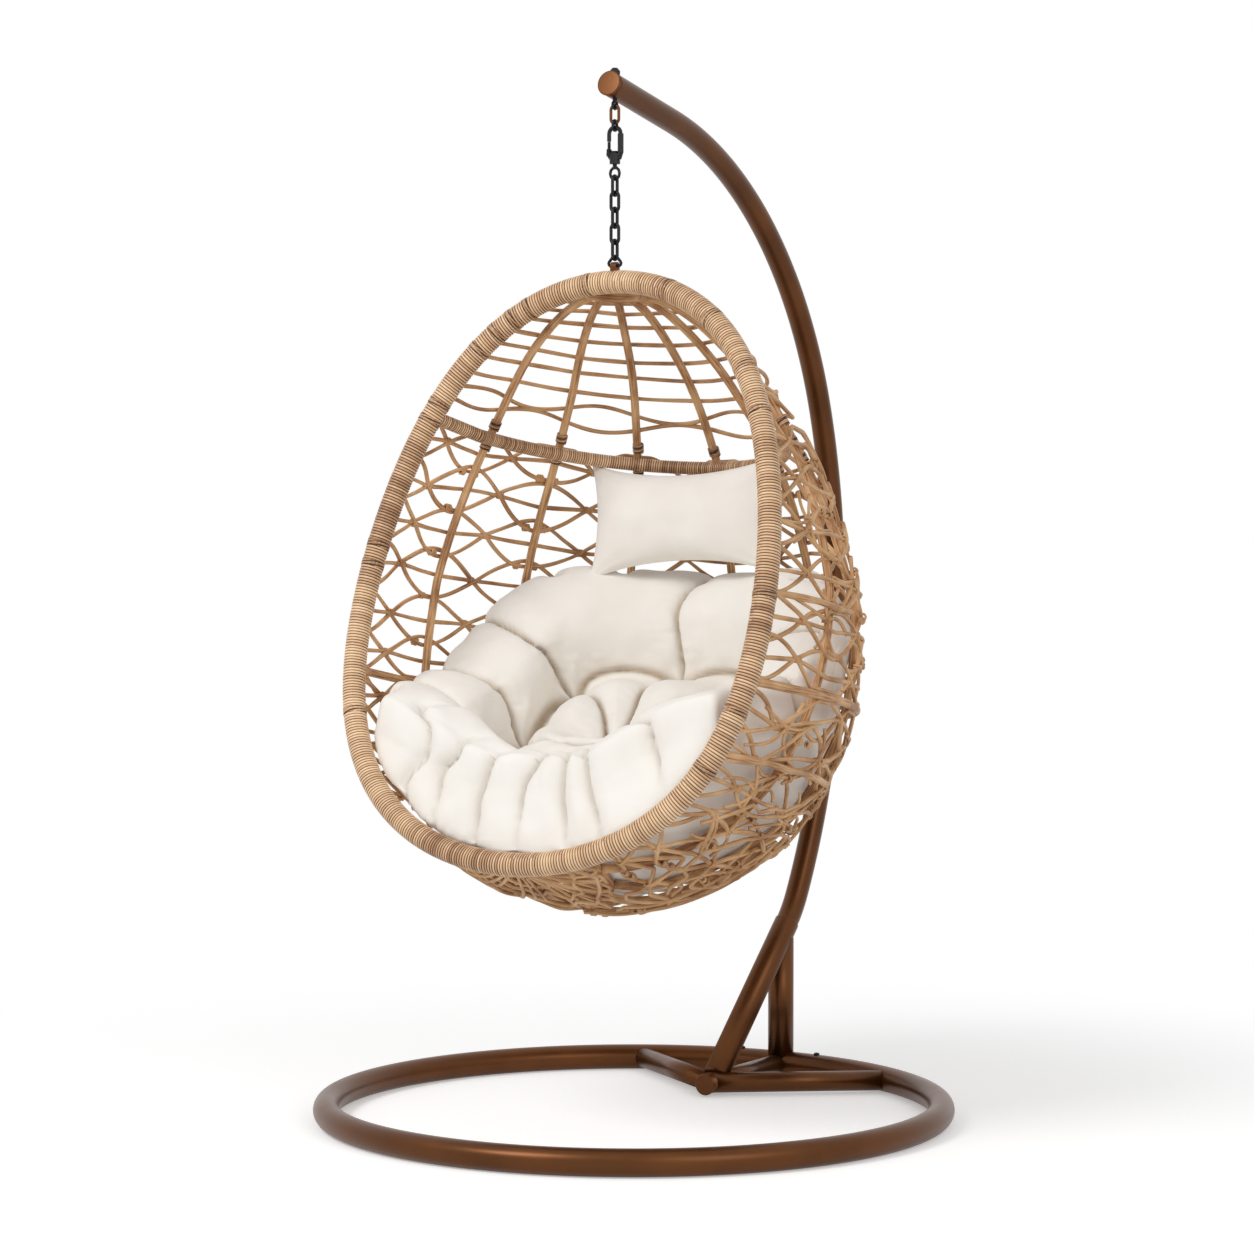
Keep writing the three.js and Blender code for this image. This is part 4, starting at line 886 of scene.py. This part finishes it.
# A long round loop as tall as its node, wide along x or y; half is half its width between the wire's middles.
def linkPiece(name, node, half, wire, wideAlongX, body, material=blackSteel):
    low, high = (corner[2] * 1000 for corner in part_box(node))
    low, high = low + wire, high - wire
    turns = np.linspace(0, math.pi, 17)
    across = np.concatenate([half * np.cos(turns), -half * np.cos(turns)])
    up = np.concatenate([high - half + half * np.sin(turns), low + half - half * np.sin(turns)])
    x, y = (across, 0 * across) if wideAlongX else (0 * across, across)
    line = np.stack([x, basket["hangY"] + y, up], 1)
    line = resample(line, gear["stepMm"], closed=True)
    steelPiece(name, node, line, wire, material, body, gear["sides"], True)


linkPiece("hangingLoop", "hanger_shackle", gear["hangerHalf"], gear["hangerWire"], True, "hanger",
          bronzePaint)
linkPiece("smallLoop", "small_link", gear["smallHalf"], gear["smallWire"], False, "hook")
for i in range(1, 6):
    body = "lower_link" if i == 5 else "chain"
    linkPiece(f"chainLoop{i}", f"chain_link_{i}", gear["chainHalf"], gear["chainWire"], i % 2 == 0, body)

for node in ("ring_splice", "post_spigot"):
    dress(node, bronzePaint)
for node in ("ring_screw_left", "ring_screw_right", "post_bolt_lower", "post_bolt_upper", "eye_bolt",
             "hanger_nut", "snap_hook", "gate_pin", "hook_gate", "swivel_eye", "basket_shackle"):
    dress(node, blackSteel)
print("stage: metal dressed")


# Soft folds and puckers: a few seeded waves of about the given length and height.
def softWaves(points, lengthMm, seed, heightMm, count=14):
    waves = np.random.default_rng(seed)
    total = np.zeros(len(points))
    for _ in range(count):
        direction = waves.normal(size=3)
        direction /= np.linalg.norm(direction)
        length = lengthMm * waves.uniform(0.7, 1.6)
        total += np.sin(points @ direction * (2 * math.pi / length) + waves.uniform(0, 6.28))
    return total / math.sqrt(count) * heightMm


def insideShell(points):
    y, z = points[..., 1], points[..., 2]
    low, high = np.zeros(y.shape), np.full(y.shape, 180.0)
    for _ in range(20):
        level = (low + high) / 2
        _, rimY, rimZ = rimAt(level)
        back = backAt(level)
        above = (back[..., 0] - rimY) * (z - rimZ) - (back[..., 1] - rimZ) * (y - rimY) > 0
        high, low = np.where(above, level, high), np.where(above, low, level)
    half, rimY, rimZ = rimAt(low)
    depth = (y - rimY) / (backAt(low)[..., 0] - rimY)
    squareness, bulge = sectionAt(low)
    inDepth = np.clip(depth, 0, 1)
    width = (1 - inDepth ** squareness) ** (1 / squareness) * (1 + bulge * inDepth)
    return (depth >= 0) & (depth <= 1) & (np.abs(points[..., 0]) < half * width)


# How far each direction runs from a point before it leaves the basket.
def reachInside(origin, directions):
    near, far = np.zeros(directions.shape[:-1]), np.full(directions.shape[:-1], 900.0)
    for _ in range(14):
        middle = (near + far) / 2
        free = insideShell(origin + directions * middle[..., None])
        near, far = np.where(free, middle, near), np.where(free, far, middle)
    return near


# Turn runs from 0 at the back to 180 at the front. Each table gives a turn and its size in mm. Places run
# from 0 at the middle over the ring of tufts, the crest and the shoulder down to the middle of the
# underside. Waves are (length, seed, height).
seatCushion = {
    "middle": (0, -117, 681), "eyeZ": 720, "eyeTo": 150, "eyeRays": 76, "clearance": 27, "columns": 420,
    "places": [0, 0.25, 0.5, 0.75, 1.0, 1.1, 1.2], "lastPlace": 2, "topRows": 150, "wallRows": 70,
    "ringRadius": [(0, 259), (43, 262), (70, 208), (90, 205), (120, 185), (150, 160), (180, 150)],
    "ringZ": [(0, 808), (43, 780), (70, 692), (90, 674), (120, 668), (150, 664), (180, 662)],
    "crestRadius": [(0, 378), (30, 378), (45, 378), (60, 370), (75, 366), (90, 376), (105, 390), (117, 388),
                    (128, 342), (138, 302), (148, 260), (162, 219), (180, 200)],
    "crestZ": [(0, 992), (22, 996), (42, 998), (55, 962), (65, 919), (74, 868), (82, 834), (92, 818),
               (105, 806), (117, 791), (128, 756), (138, 724), (150, 700), (165, 692), (180, 694)],
    "crestInset": 34, "rightLift": 24, "rightTurn": -130, "rightReach": 17, "shoulder": 66,
    "shoulderOut": 0.62, "shoulderDown": 0.16, "panelBulge": 44, "panelMiddle": 0.52, "lobeBulge": 44,
    "fullLean": 180, "leastLean": 0.15,
    # Seam, crease, tuft and pleat depths shape the cloth; among them are also the width of the painted shade
    # along seams and pleats and its strength on pleats.
    "seamDepth": 25, "seamReach": 66, "shadeLineWidth": 4.6, "creaseDepth": 10, "creaseWidth": 6,
    "tuftDepth": 15, "tuftReach": 34, "pleatDepth": 21, "pleatReach": 38, "pleatCrease": 9,
    "pleatShade": 0.4, "topEnd": 1.55, "topFade": 0.25, "waves": (150, 3, 2.6), "ripples": (60, 4, 1.0),
    "waveBelow": 0.35, "puckers": (24, 5, 1.2), "puckerSeam": 26, "puckerTuft": 45, "tuftPull": 1.4,
    "folds": (48, 6, 1.5), "foldUpright": 0.35, "foldPlace": 1.12, "foldReach": 0.3,
}

# Seams and pleats as (turn, place): place 0 is the middle button, 0.5 the ring of tufts, 1 the crest.
halfSeams = [
    [(42, 0.49), (48, 0.62), (57, 0.75), (63, 0.86), (66, 0.96), (66, 1.12), (66, 1.26)],
    [(70, 0.5), (74, 0.64), (79, 0.75), (82, 0.86), (84, 0.98), (85, 1.12), (85, 1.26)],
    [(42, 0.49), (35, 0.53), (26, 0.54), (14, 0.53), (0, 0.5)],
    [(70, 0.5), (60, 0.51), (50, 0.51), (42, 0.49)],
    [(108, 0.5), (97, 0.53), (84, 0.53), (70, 0.5)],
    [(180, 0.5), (160, 0.53), (140, 0.5), (125, 0.52), (108, 0.5)],
    [(180, 0.29), (138, 0.27), (100, 0.37), (70, 0.5)],
    [(42, 0.49), (40, 0.34), (30, 0.16), (20, 0.03)],
]
seatSeams = halfSeams + [[(-turn, place) for turn, place in line] for line in halfSeams] + [
    [(0, 0.5), (2, 0.65), (3, 0.76), (2, 0.86), (0, 0.96), (0, 1.12), (0, 1.26)],
    [(3, 0.5), (4, 0.35), (0, 0.2), (-20, 0.03)],
    [(108, 0.5), (112, 0.62), (110, 0.74), (104, 0.88), (102, 1.02), (102, 1.14), (102, 1.26)],
]
seatPleats = [
    [(124, 0.75), (126, 0.95), (134, 1.14), (132, 1.27), (137, 1.42)],
    [(146, 0.8), (144, 1.0), (144, 1.13), (140, 1.2), (142, 1.27), (148, 1.45)],
    [(162, 0.75), (160, 0.97), (158, 1.12), (156, 1.22), (159, 1.32), (164, 1.5)],
    [(184, 0.75), (182, 1.0), (180, 1.12), (175, 1.19), (176, 1.29), (181, 1.5)],
    [(-166, 0.8), (-164, 1.0), (-165, 1.13), (-165, 1.22), (-163, 1.3), (-159, 1.48)],
    [(-152, 0.75), (-156, 1.0), (-155, 1.14), (-153, 1.22), (-150, 1.3), (-145, 1.5)],
    [(-138, 0.75), (-135, 1.0), (-133, 1.14), (-132, 1.22), (-131, 1.36)],
    [(112, 0.98), (116, 1.08), (118, 1.2), (116, 1.32)],
    [(24, 0.94), (25, 1.05), (24, 1.2)], [(-24, 0.94), (-25, 1.05), (-24, 1.2)],
    [(44, 0.94), (45, 1.05), (44, 1.2)], [(-44, 0.94), (-45, 1.05), (-44, 1.2)],
]
seatTufts = [(0, 0.02), (0, 0.5), (42, 0.49), (-42, 0.49), (70, 0.5), (-70, 0.5), (108, 0.5), (-108, 0.5),
             (140, 0.5), (-140, 0.5), (180, 0.5)]


# A smooth curve through a table: value at each wanted turn, level at both ends.
def smoothTable(table, wanted):
    x, y = np.array(table, dtype=float).T
    slope = np.gradient(y, x)
    slope[0] = slope[-1] = 0
    i = np.clip(np.searchsorted(x, wanted) - 1, 0, len(x) - 2)
    width = x[i + 1] - x[i]
    return smoothStep((wanted - x[i]) / width, y[i], slope[i], y[i + 1], slope[i + 1], width)


# Points along a smooth curve through the given places; wanted runs over their parameters.
def throughPoints(places, points, wanted):
    slopes = np.gradient(points, places, axis=0)
    i = np.clip(np.searchsorted(places, wanted, side="right") - 1, 0, len(places) - 2)
    shape = (-1,) + (1,) * (points.ndim - 1)
    width = (places[i + 1] - places[i]).reshape(shape)
    t = (wanted - places[i]).reshape(shape) / width
    return smoothStep(t, points[i], slopes[i], points[i + 1], slopes[i + 1], width)


# The seat's form before its seams, as rows of points from the middle of the top to the middle of the
# underside, and the place of each row.
def seatForm(settings):
    columns = settings["columns"]
    turn = np.arange(columns) / columns * 360 - 180
    size = np.abs(turn)
    middle = np.array(settings["middle"], dtype=float)
    eye = np.array([0, middle[1], settings["eyeZ"]], dtype=float)
    aim = np.stack([-np.sin(np.radians(turn)), np.cos(np.radians(turn)), 0 * turn], -1)
    upward = np.array([0, 0, 1.0])
    # the basket's inside, seen from a point above the seat; polar is 0 straight down
    polar = np.linspace(0, settings["eyeTo"], settings["eyeRays"])
    sine, cosine = np.sin(np.radians(polar))[:, None], np.cos(np.radians(polar))[:, None]
    distance = reachInside(eye, sine[..., None] * aim - cosine[..., None] * upward) - settings["clearance"]
    wallZ = eye[2] - distance * cosine
    wallR = distance * sine

    def onWall(wanted, values):
        return np.array([np.interp(wanted[c], polar, values[:, c]) for c in range(columns)])

    ringR, ringZ = smoothTable(settings["ringRadius"], size), smoothTable(settings["ringZ"], size)
    fromRight = (turn - settings["rightTurn"]) / settings["rightReach"]
    crestZ = smoothTable(settings["crestZ"], size) + settings["rightLift"] * np.exp(-fromRight ** 2)
    startZ = crestZ - settings["shoulder"]
    startPolar = np.array([np.interp(startZ[c], wallZ[:, c], polar) for c in range(columns)])
    startR = onWall(startPolar, wallR)
    crestR = np.minimum(smoothTable(settings["crestRadius"], size), startR - settings["crestInset"])
    lean = np.hypot(crestR - ringR, crestZ - ringZ)
    bulge = settings["lobeBulge"] * np.clip(lean / settings["fullLean"], settings["leastLean"], 1)
    outR, outZ = -(crestZ - ringZ) / lean, (crestR - ringR) / lean
    knots = np.array([
        [0 * ringR, 0 * ringZ + middle[2]],
        [ringR * settings["panelMiddle"], (middle[2] + ringZ) / 2 + settings["panelBulge"]],
        [ringR, ringZ],
        [ringR + (crestR - ringR) * 0.5 + outR * bulge, ringZ + (crestZ - ringZ) * 0.5 + outZ * bulge],
        [crestR, crestZ],
        [crestR + (startR - crestR) * settings["shoulderOut"],
         crestZ - settings["shoulder"] * settings["shoulderDown"]],
        [startR, startZ],
    ])
    places = np.array(settings["places"], dtype=float)
    top = np.linspace(0, places[-1], settings["topRows"])
    wall = np.linspace(0, 1, settings["wallRows"] + 1)[1:]
    wallRows = [[onWall(startPolar * (1 - share), wallR), onWall(startPolar * (1 - share), wallZ)]
                for share in wall]
    rows = np.concatenate([throughPoints(places, knots, top), np.array(wallRows)])
    points = middle * [1, 1, 0] + aim * rows[:, 0, :, None] + upward * rows[:, 1, :, None]
    return points, np.concatenate([top, places[-1] + wall * (settings["lastPlace"] - places[-1])])


def closedFaces(rows, columns):
    faces = []
    for i in range(1, rows - 2):
        above, below = 1 + (i - 1) * columns, 1 + i * columns
        for k in range(columns):
            m = (k + 1) % columns
            faces.append((above + k, below + k, below + m, above + m))
    last = 1 + (rows - 2) * columns
    for k in range(columns):
        m = (k + 1) % columns
        faces.append((0, 1 + k, 1 + m))
        faces.append((last, last - columns + m, last - columns + k))
    return faces


def buildSeat(settings):
    grid, places = seatForm(settings)
    rows, columns = grid.shape[:2]

    def spot(turn, place):
        row = np.interp(place, places, np.arange(rows))
        column = ((turn + 180) % 360) / 360 * columns
        i, j = int(min(row, rows - 2)), int(column) % columns
        k = (j + 1) % columns
        fi, fj = row - i, column - int(column)
        above = (1 - fj) * grid[i, j] + fj * grid[i, k]
        below = (1 - fj) * grid[i + 1, j] + fj * grid[i + 1, k]
        return (1 - fi) * above + fi * below

    def traced(lines, taper):
        spots, strengths = [], []
        for line in lines:
            marks = np.array(line, dtype=float)
            t = np.linspace(0, 1, 90)
            path = throughPoints(np.linspace(0, 1, len(marks)), marks, t)
            for share, (turn, place) in zip(t, path):
                spots.append(spot(turn, place))
                ends = min(share, 1 - share) * 4 if taper else min(1, (1.3 - place) * 7)
                strengths.append(max(0, min(1, ends)))
        return np.array(spots), np.array(strengths)

    vertices = np.concatenate([grid[:1, 0], grid[1:-1].reshape(-1, 3), grid[-1:, 0]])
    faces = closedFaces(rows, columns)
    # outward direction of each vertex, from its neighbours on the grid
    across = np.roll(grid, -1, 1) - np.roll(grid, 1, 1)
    down = np.gradient(grid, axis=0)
    normal = np.cross(down, across)
    normal /= np.maximum(np.linalg.norm(normal, axis=-1), 1e-6)[..., None]
    outward = np.concatenate([[[0, 0, 1.0]], normal[1:-1].reshape(-1, 3), [[0, 0, -1.0]]])
    if np.dot(outward[1 + 30 * columns], [0, 0, 1]) < 0:
        outward[1:-1] *= -1

    def nearest(spots, strengths):
        tree = KDTree(len(spots))
        for i, place in enumerate(spots):
            tree.insert(place, i)
        tree.balance()
        found = [tree.find(v) for v in vertices]
        return np.array([f[2] for f in found]), strengths[[f[1] for f in found]]

    seamAway, seamStrength = nearest(*traced(seatSeams, False))
    pleatAway, pleatStrength = nearest(*traced(seatPleats, True))
    tuftSpots = np.array([spot(*tuft) for tuft in seatTufts])
    tuftAway, _ = nearest(tuftSpots, np.ones(len(tuftSpots)))

    # between two seams the cloth stands up in a round lobe
    def lobe(away, reach):
        near = 1 - np.minimum(away / reach, 1)
        return 1 - np.sqrt(1 - near ** 2)

    depth = seamStrength * (settings["seamDepth"] * lobe(seamAway, settings["seamReach"])
                            + settings["creaseDepth"] * np.exp(-seamAway / settings["creaseWidth"]))
    depth += settings["tuftDepth"] * np.exp(-(tuftAway / settings["tuftReach"]) ** 2)
    depth += pleatStrength * (settings["pleatDepth"] * lobe(pleatAway, settings["pleatReach"])
                              + settings["pleatCrease"] * np.exp(-pleatAway / settings["creaseWidth"]))
    place = np.concatenate([[0], np.repeat(places[1:-1], columns), [settings["lastPlace"]]])
    onTop = np.clip((settings["topEnd"] - place) / settings["topFade"], 0, 1)
    waves = softWaves(vertices, *settings["waves"]) + softWaves(vertices, *settings["ripples"])
    pull = np.exp(-seamAway / settings["puckerSeam"])
    pull = pull + settings["tuftPull"] * np.exp(-tuftAway / settings["puckerTuft"])
    pucker = softWaves(vertices, *settings["puckers"]) * pull
    nearFold = np.clip(1 - np.abs(place - settings["foldPlace"]) / settings["foldReach"], 0, 1)
    fold = softWaves(vertices * [1, 1, settings["foldUpright"]], *settings["folds"]) * nearFold
    loft = (waves + fold) * (settings["waveBelow"] + (1 - settings["waveBelow"]) * onTop)
    moved = vertices + outward * (loft + pucker * onTop - depth * onTop)[:, None]
    # how much painted shade each point gets along the seams, and more weakly along the pleats, for the
    # cloth's colour
    seamShade = seamStrength * np.exp(-(seamAway / settings["shadeLineWidth"]) ** 2)
    pleatShading = pleatStrength * np.exp(-(pleatAway / settings["shadeLineWidth"]) ** 2)
    seamShade = np.maximum(seamShade, settings["pleatShade"] * pleatShading)
    return moved, faces, seamShade * onTop


seatPoints, seatFaces, seatSeamShade = buildSeat(seatCushion)
seat = meshPiece("seatCushion", toFrame(seatPoints), seatFaces, canvas)
# the painted seam and pleat shade is stored on the mesh for the cloth's colour
seat.data.attributes.new("seamShade", "FLOAT", "POINT").data.foreach_set("value", seatSeamShade)
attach(seat, "basket")
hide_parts("seat_cushion")
print("stage: seat cushion")

# A flat pillow with a waist on each side; folds are (length, height) and pulls run into its four corners.
pillow = {
    "widthMm": 400, "heightMm": 212, "thicknessMm": 108, "middle": (-6, 190, 1095), "lean": 7,
    "roll": 2.5, "waist": 0.25, "sideWaist": 0.3, "cornerOut": 0.02, "cornerUp": 0.06, "cornerPower": 6,
    "steps": (100, 60), "foldSeed": 11, "folds": (62, 2.0), "foldDepth": 0.2, "pulls": 9, "pullMm": 4.2,
    "pullReach": 0.42,
}


def buildPillow(settings):
    across, up = settings["steps"]
    u = -np.cos(np.linspace(0, math.pi, across + 1))
    v = -np.cos(np.linspace(0, math.pi, up + 1))
    gridU, gridV = np.meshgrid(u, v, indexing="xy")
    fromU, fromV = 1 - np.abs(gridU), 1 - np.abs(gridV)
    waist = 1 - settings["waist"] * (1 - gridU ** 2)
    side = 1 - settings["waist"] * settings["sideWaist"] * (1 - gridV ** 2)
    swell = np.clip((1 - gridU ** 2) * (1 - gridV ** 2), 0, 1) ** 0.5
    corner = np.abs(gridU * gridV) ** settings["cornerPower"]
    x = settings["widthMm"] / 2 * gridU * side * (1 + settings["cornerOut"] * corner)
    z = settings["heightMm"] / 2 * gridV * waist * (1 + settings["cornerUp"] * corner)
    length, height = settings["folds"]
    pull = settings["pullMm"] * np.sin(np.arctan2(fromV, fromU) * settings["pulls"]) * swell
    pull *= np.exp(-(np.hypot(fromU, fromV) / settings["pullReach"]) ** 2)
    layers = []
    for sign in (1, -1):
        flat = np.stack([x, -sign * settings["thicknessMm"] / 2 * swell, z], -1).reshape(-1, 3)
        folds = softWaves(flat * [1, settings["foldDepth"], 1], length, settings["foldSeed"] + sign, height)
        flat[:, 1] -= sign * (folds * swell.ravel() + pull.ravel())
        layers.append(flat.reshape(up + 1, across + 1, 3))
    vertices, faces, index = [], [], {}

    def vertex(layer, i, j):
        edge = i in (0, up) or j in (0, across)
        key = (0 if edge else layer, i, j)
        if key not in index:
            index[key] = len(vertices)
            vertices.append(layers[layer][i, j] * ([1, 0, 1] if edge else [1, 1, 1]))
        return index[key]

    for layer in (0, 1):
        for i in range(up):
            for j in range(across):
                around = ((i, j), (i, j + 1), (i + 1, j + 1), (i + 1, j))
                face = tuple(vertex(layer, *corner) for corner in around)
                faces.append(face if layer == 0 else face[::-1])
    roll, lean = math.radians(settings["roll"]), math.radians(settings["lean"])
    x, y, z = np.array(vertices).T
    x, z = x * math.cos(roll) - z * math.sin(roll), x * math.sin(roll) + z * math.cos(roll)
    y, z = y * math.cos(lean) + z * math.sin(lean), z * math.cos(lean) - y * math.sin(lean)
    return np.stack([x, y, z], 1) + settings["middle"], faces


pillowPoints, pillowFaces = buildPillow(pillow)
head = meshPiece("headPillow", toFrame(pillowPoints), pillowFaces, canvas)
finer = head.modifiers.new("finer", "SUBSURF")
finer.levels = finer.render_levels = 1
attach(head, "basket")
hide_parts("head_pillow")
print("stage: head pillow")

# Studio: a pale floor, a soft sky and two large lamps, given as (place, size, watts)
studio = {
    "floorHalf": 30, "floorDrop": 0.0005, "floorTone": 0.86, "floorLift": 0.36, "whiteFrom": 0.75,
    "whiteTo": 1.9,
    "worldStrength": 0.5, "lampAim": (0, -0.1, 1.0),
    "lamps": {"keyLamp": ((-1.2, -4.2, 4.2), 2.2, 128), "fillLamp": ((3.8, -2.2, 2.6), 2.6, 36)},
}

half, drop = studio["floorHalf"], -studio["floorDrop"]
floorMesh = bpy.data.meshes.new("studioFloor")
corners = [(-half, -half, drop), (half, -half, drop), (half, half, drop), (-half, half, drop)]
floorMesh.from_pydata(corners, [], [(0, 1, 2, 3)])
floor = bpy.data.objects.new("studioFloor", floorMesh)
bpy.context.scene.collection.objects.link(floor)
floorMaterial = newMaterial("pale studio floor")
tree = floorMaterial.node_tree
rays = addNode(tree, "ShaderNodeLightPath")
seen = addNode(tree, "ShaderNodeMath", {"operation": "MAXIMUM"}, None,
               {0: rays.outputs["Is Camera Ray"], 1: rays.outputs["Is Glossy Ray"]})
lift = addNode(tree, "ShaderNodeMath", {"operation": "MULTIPLY"}, {1: studio["floorLift"]},
               {0: seen.outputs["Value"]})
matte = addNode(tree, "ShaderNodeBsdfDiffuse", None, {"Color": (studio["floorTone"],) * 3 + (1,)})
glow = addNode(tree, "ShaderNodeEmission", None, {"Color": (1, 1, 1, 1)}, {"Strength": lift.outputs["Value"]})
both = addNode(tree, "ShaderNodeAddShader", None, None,
               {0: matte.outputs["BSDF"], 1: glow.outputs["Emission"]})
# away from the stand the floor turns into the white backdrop
spot = addNode(tree, "ShaderNodeTexCoord")
reach = addNode(tree, "ShaderNodeVectorMath", {"operation": "LENGTH"}, None, {0: spot.outputs["Object"]})
away = addNode(tree, "ShaderNodeMapRange", {"clamp": True, "interpolation_type": "SMOOTHSTEP"},
               {"From Min": studio["whiteFrom"], "From Max": studio["whiteTo"]},
               {"Value": reach.outputs["Value"]})
share = addNode(tree, "ShaderNodeMath", {"operation": "MULTIPLY"}, None,
                {0: away.outputs["Result"], 1: seen.outputs["Value"]})
backdrop = addNode(tree, "ShaderNodeEmission", None, {"Color": (1, 1, 1, 1), "Strength": 1.0})
mixed = addNode(tree, "ShaderNodeMixShader", None, None,
                {0: share.outputs["Value"], 1: both.outputs["Shader"], 2: backdrop.outputs["Emission"]})
addNode(tree, "ShaderNodeOutputMaterial", None, None, {"Surface": mixed.outputs["Shader"]})
floorMesh.materials.append(floorMaterial)

world = bpy.data.worlds.new("studio")
world.use_nodes = True
bpy.context.scene.world = world
tree = world.node_tree
tree.nodes.clear()
rays = addNode(tree, "ShaderNodeLightPath")
direct = addNode(tree, "ShaderNodeMath", {"operation": "MAXIMUM"}, None,
                 {0: rays.outputs["Is Camera Ray"], 1: rays.outputs["Is Glossy Ray"]})
strength = addNode(tree, "ShaderNodeMapRange", None, {"To Min": studio["worldStrength"], "To Max": 1.0},
                   {"Value": direct.outputs["Value"]})
sky = addNode(tree, "ShaderNodeBackground", None, {"Color": (1, 1, 1, 1)},
              {"Strength": strength.outputs["Result"]})
addNode(tree, "ShaderNodeOutputWorld", None, None, {"Surface": sky.outputs["Background"]})

for name, (place, size, watts) in studio["lamps"].items():
    lampData = bpy.data.lights.new(name, "AREA")
    lampData.shape = "DISK"
    lampData.size = size
    lampData.energy = watts
    lamp = bpy.data.objects.new(name, lampData)
    lamp.location = place
    lamp.rotation_euler = (Vector(studio["lampAim"]) - Vector(place)).to_track_quat("-Z", "Y").to_euler()
    bpy.context.scene.collection.objects.link(lamp)

# The camera stands where the photograph was taken from: distance and height in m, angles in degrees
view = {"azimuth": 31.0, "distance": 6.427, "height": 1.1386, "pitch": 2.1454, "yaw": 0.1098, "lens": 101.58,
        "sensor": 36}
turn = math.radians(view["azimuth"])
cameraData = bpy.data.cameras.new("camera")
cameraData.lens = view["lens"]
cameraData.sensor_width = view["sensor"]
cameraData.sensor_fit = "HORIZONTAL"
cameraData.clip_end = 100
camera = bpy.data.objects.new("camera", cameraData)
camera.location = (view["distance"] * math.sin(turn),
                   ringMiddleY / 1000 - view["distance"] * math.cos(turn), view["height"])
camera.rotation_euler = (math.radians(90 - view["pitch"]), 0, turn + math.radians(view["yaw"]))
bpy.context.scene.collection.objects.link(camera)
bpy.context.scene.camera = camera

bpy.context.scene.view_settings.view_transform = "Standard"

print("stage: scene ready")
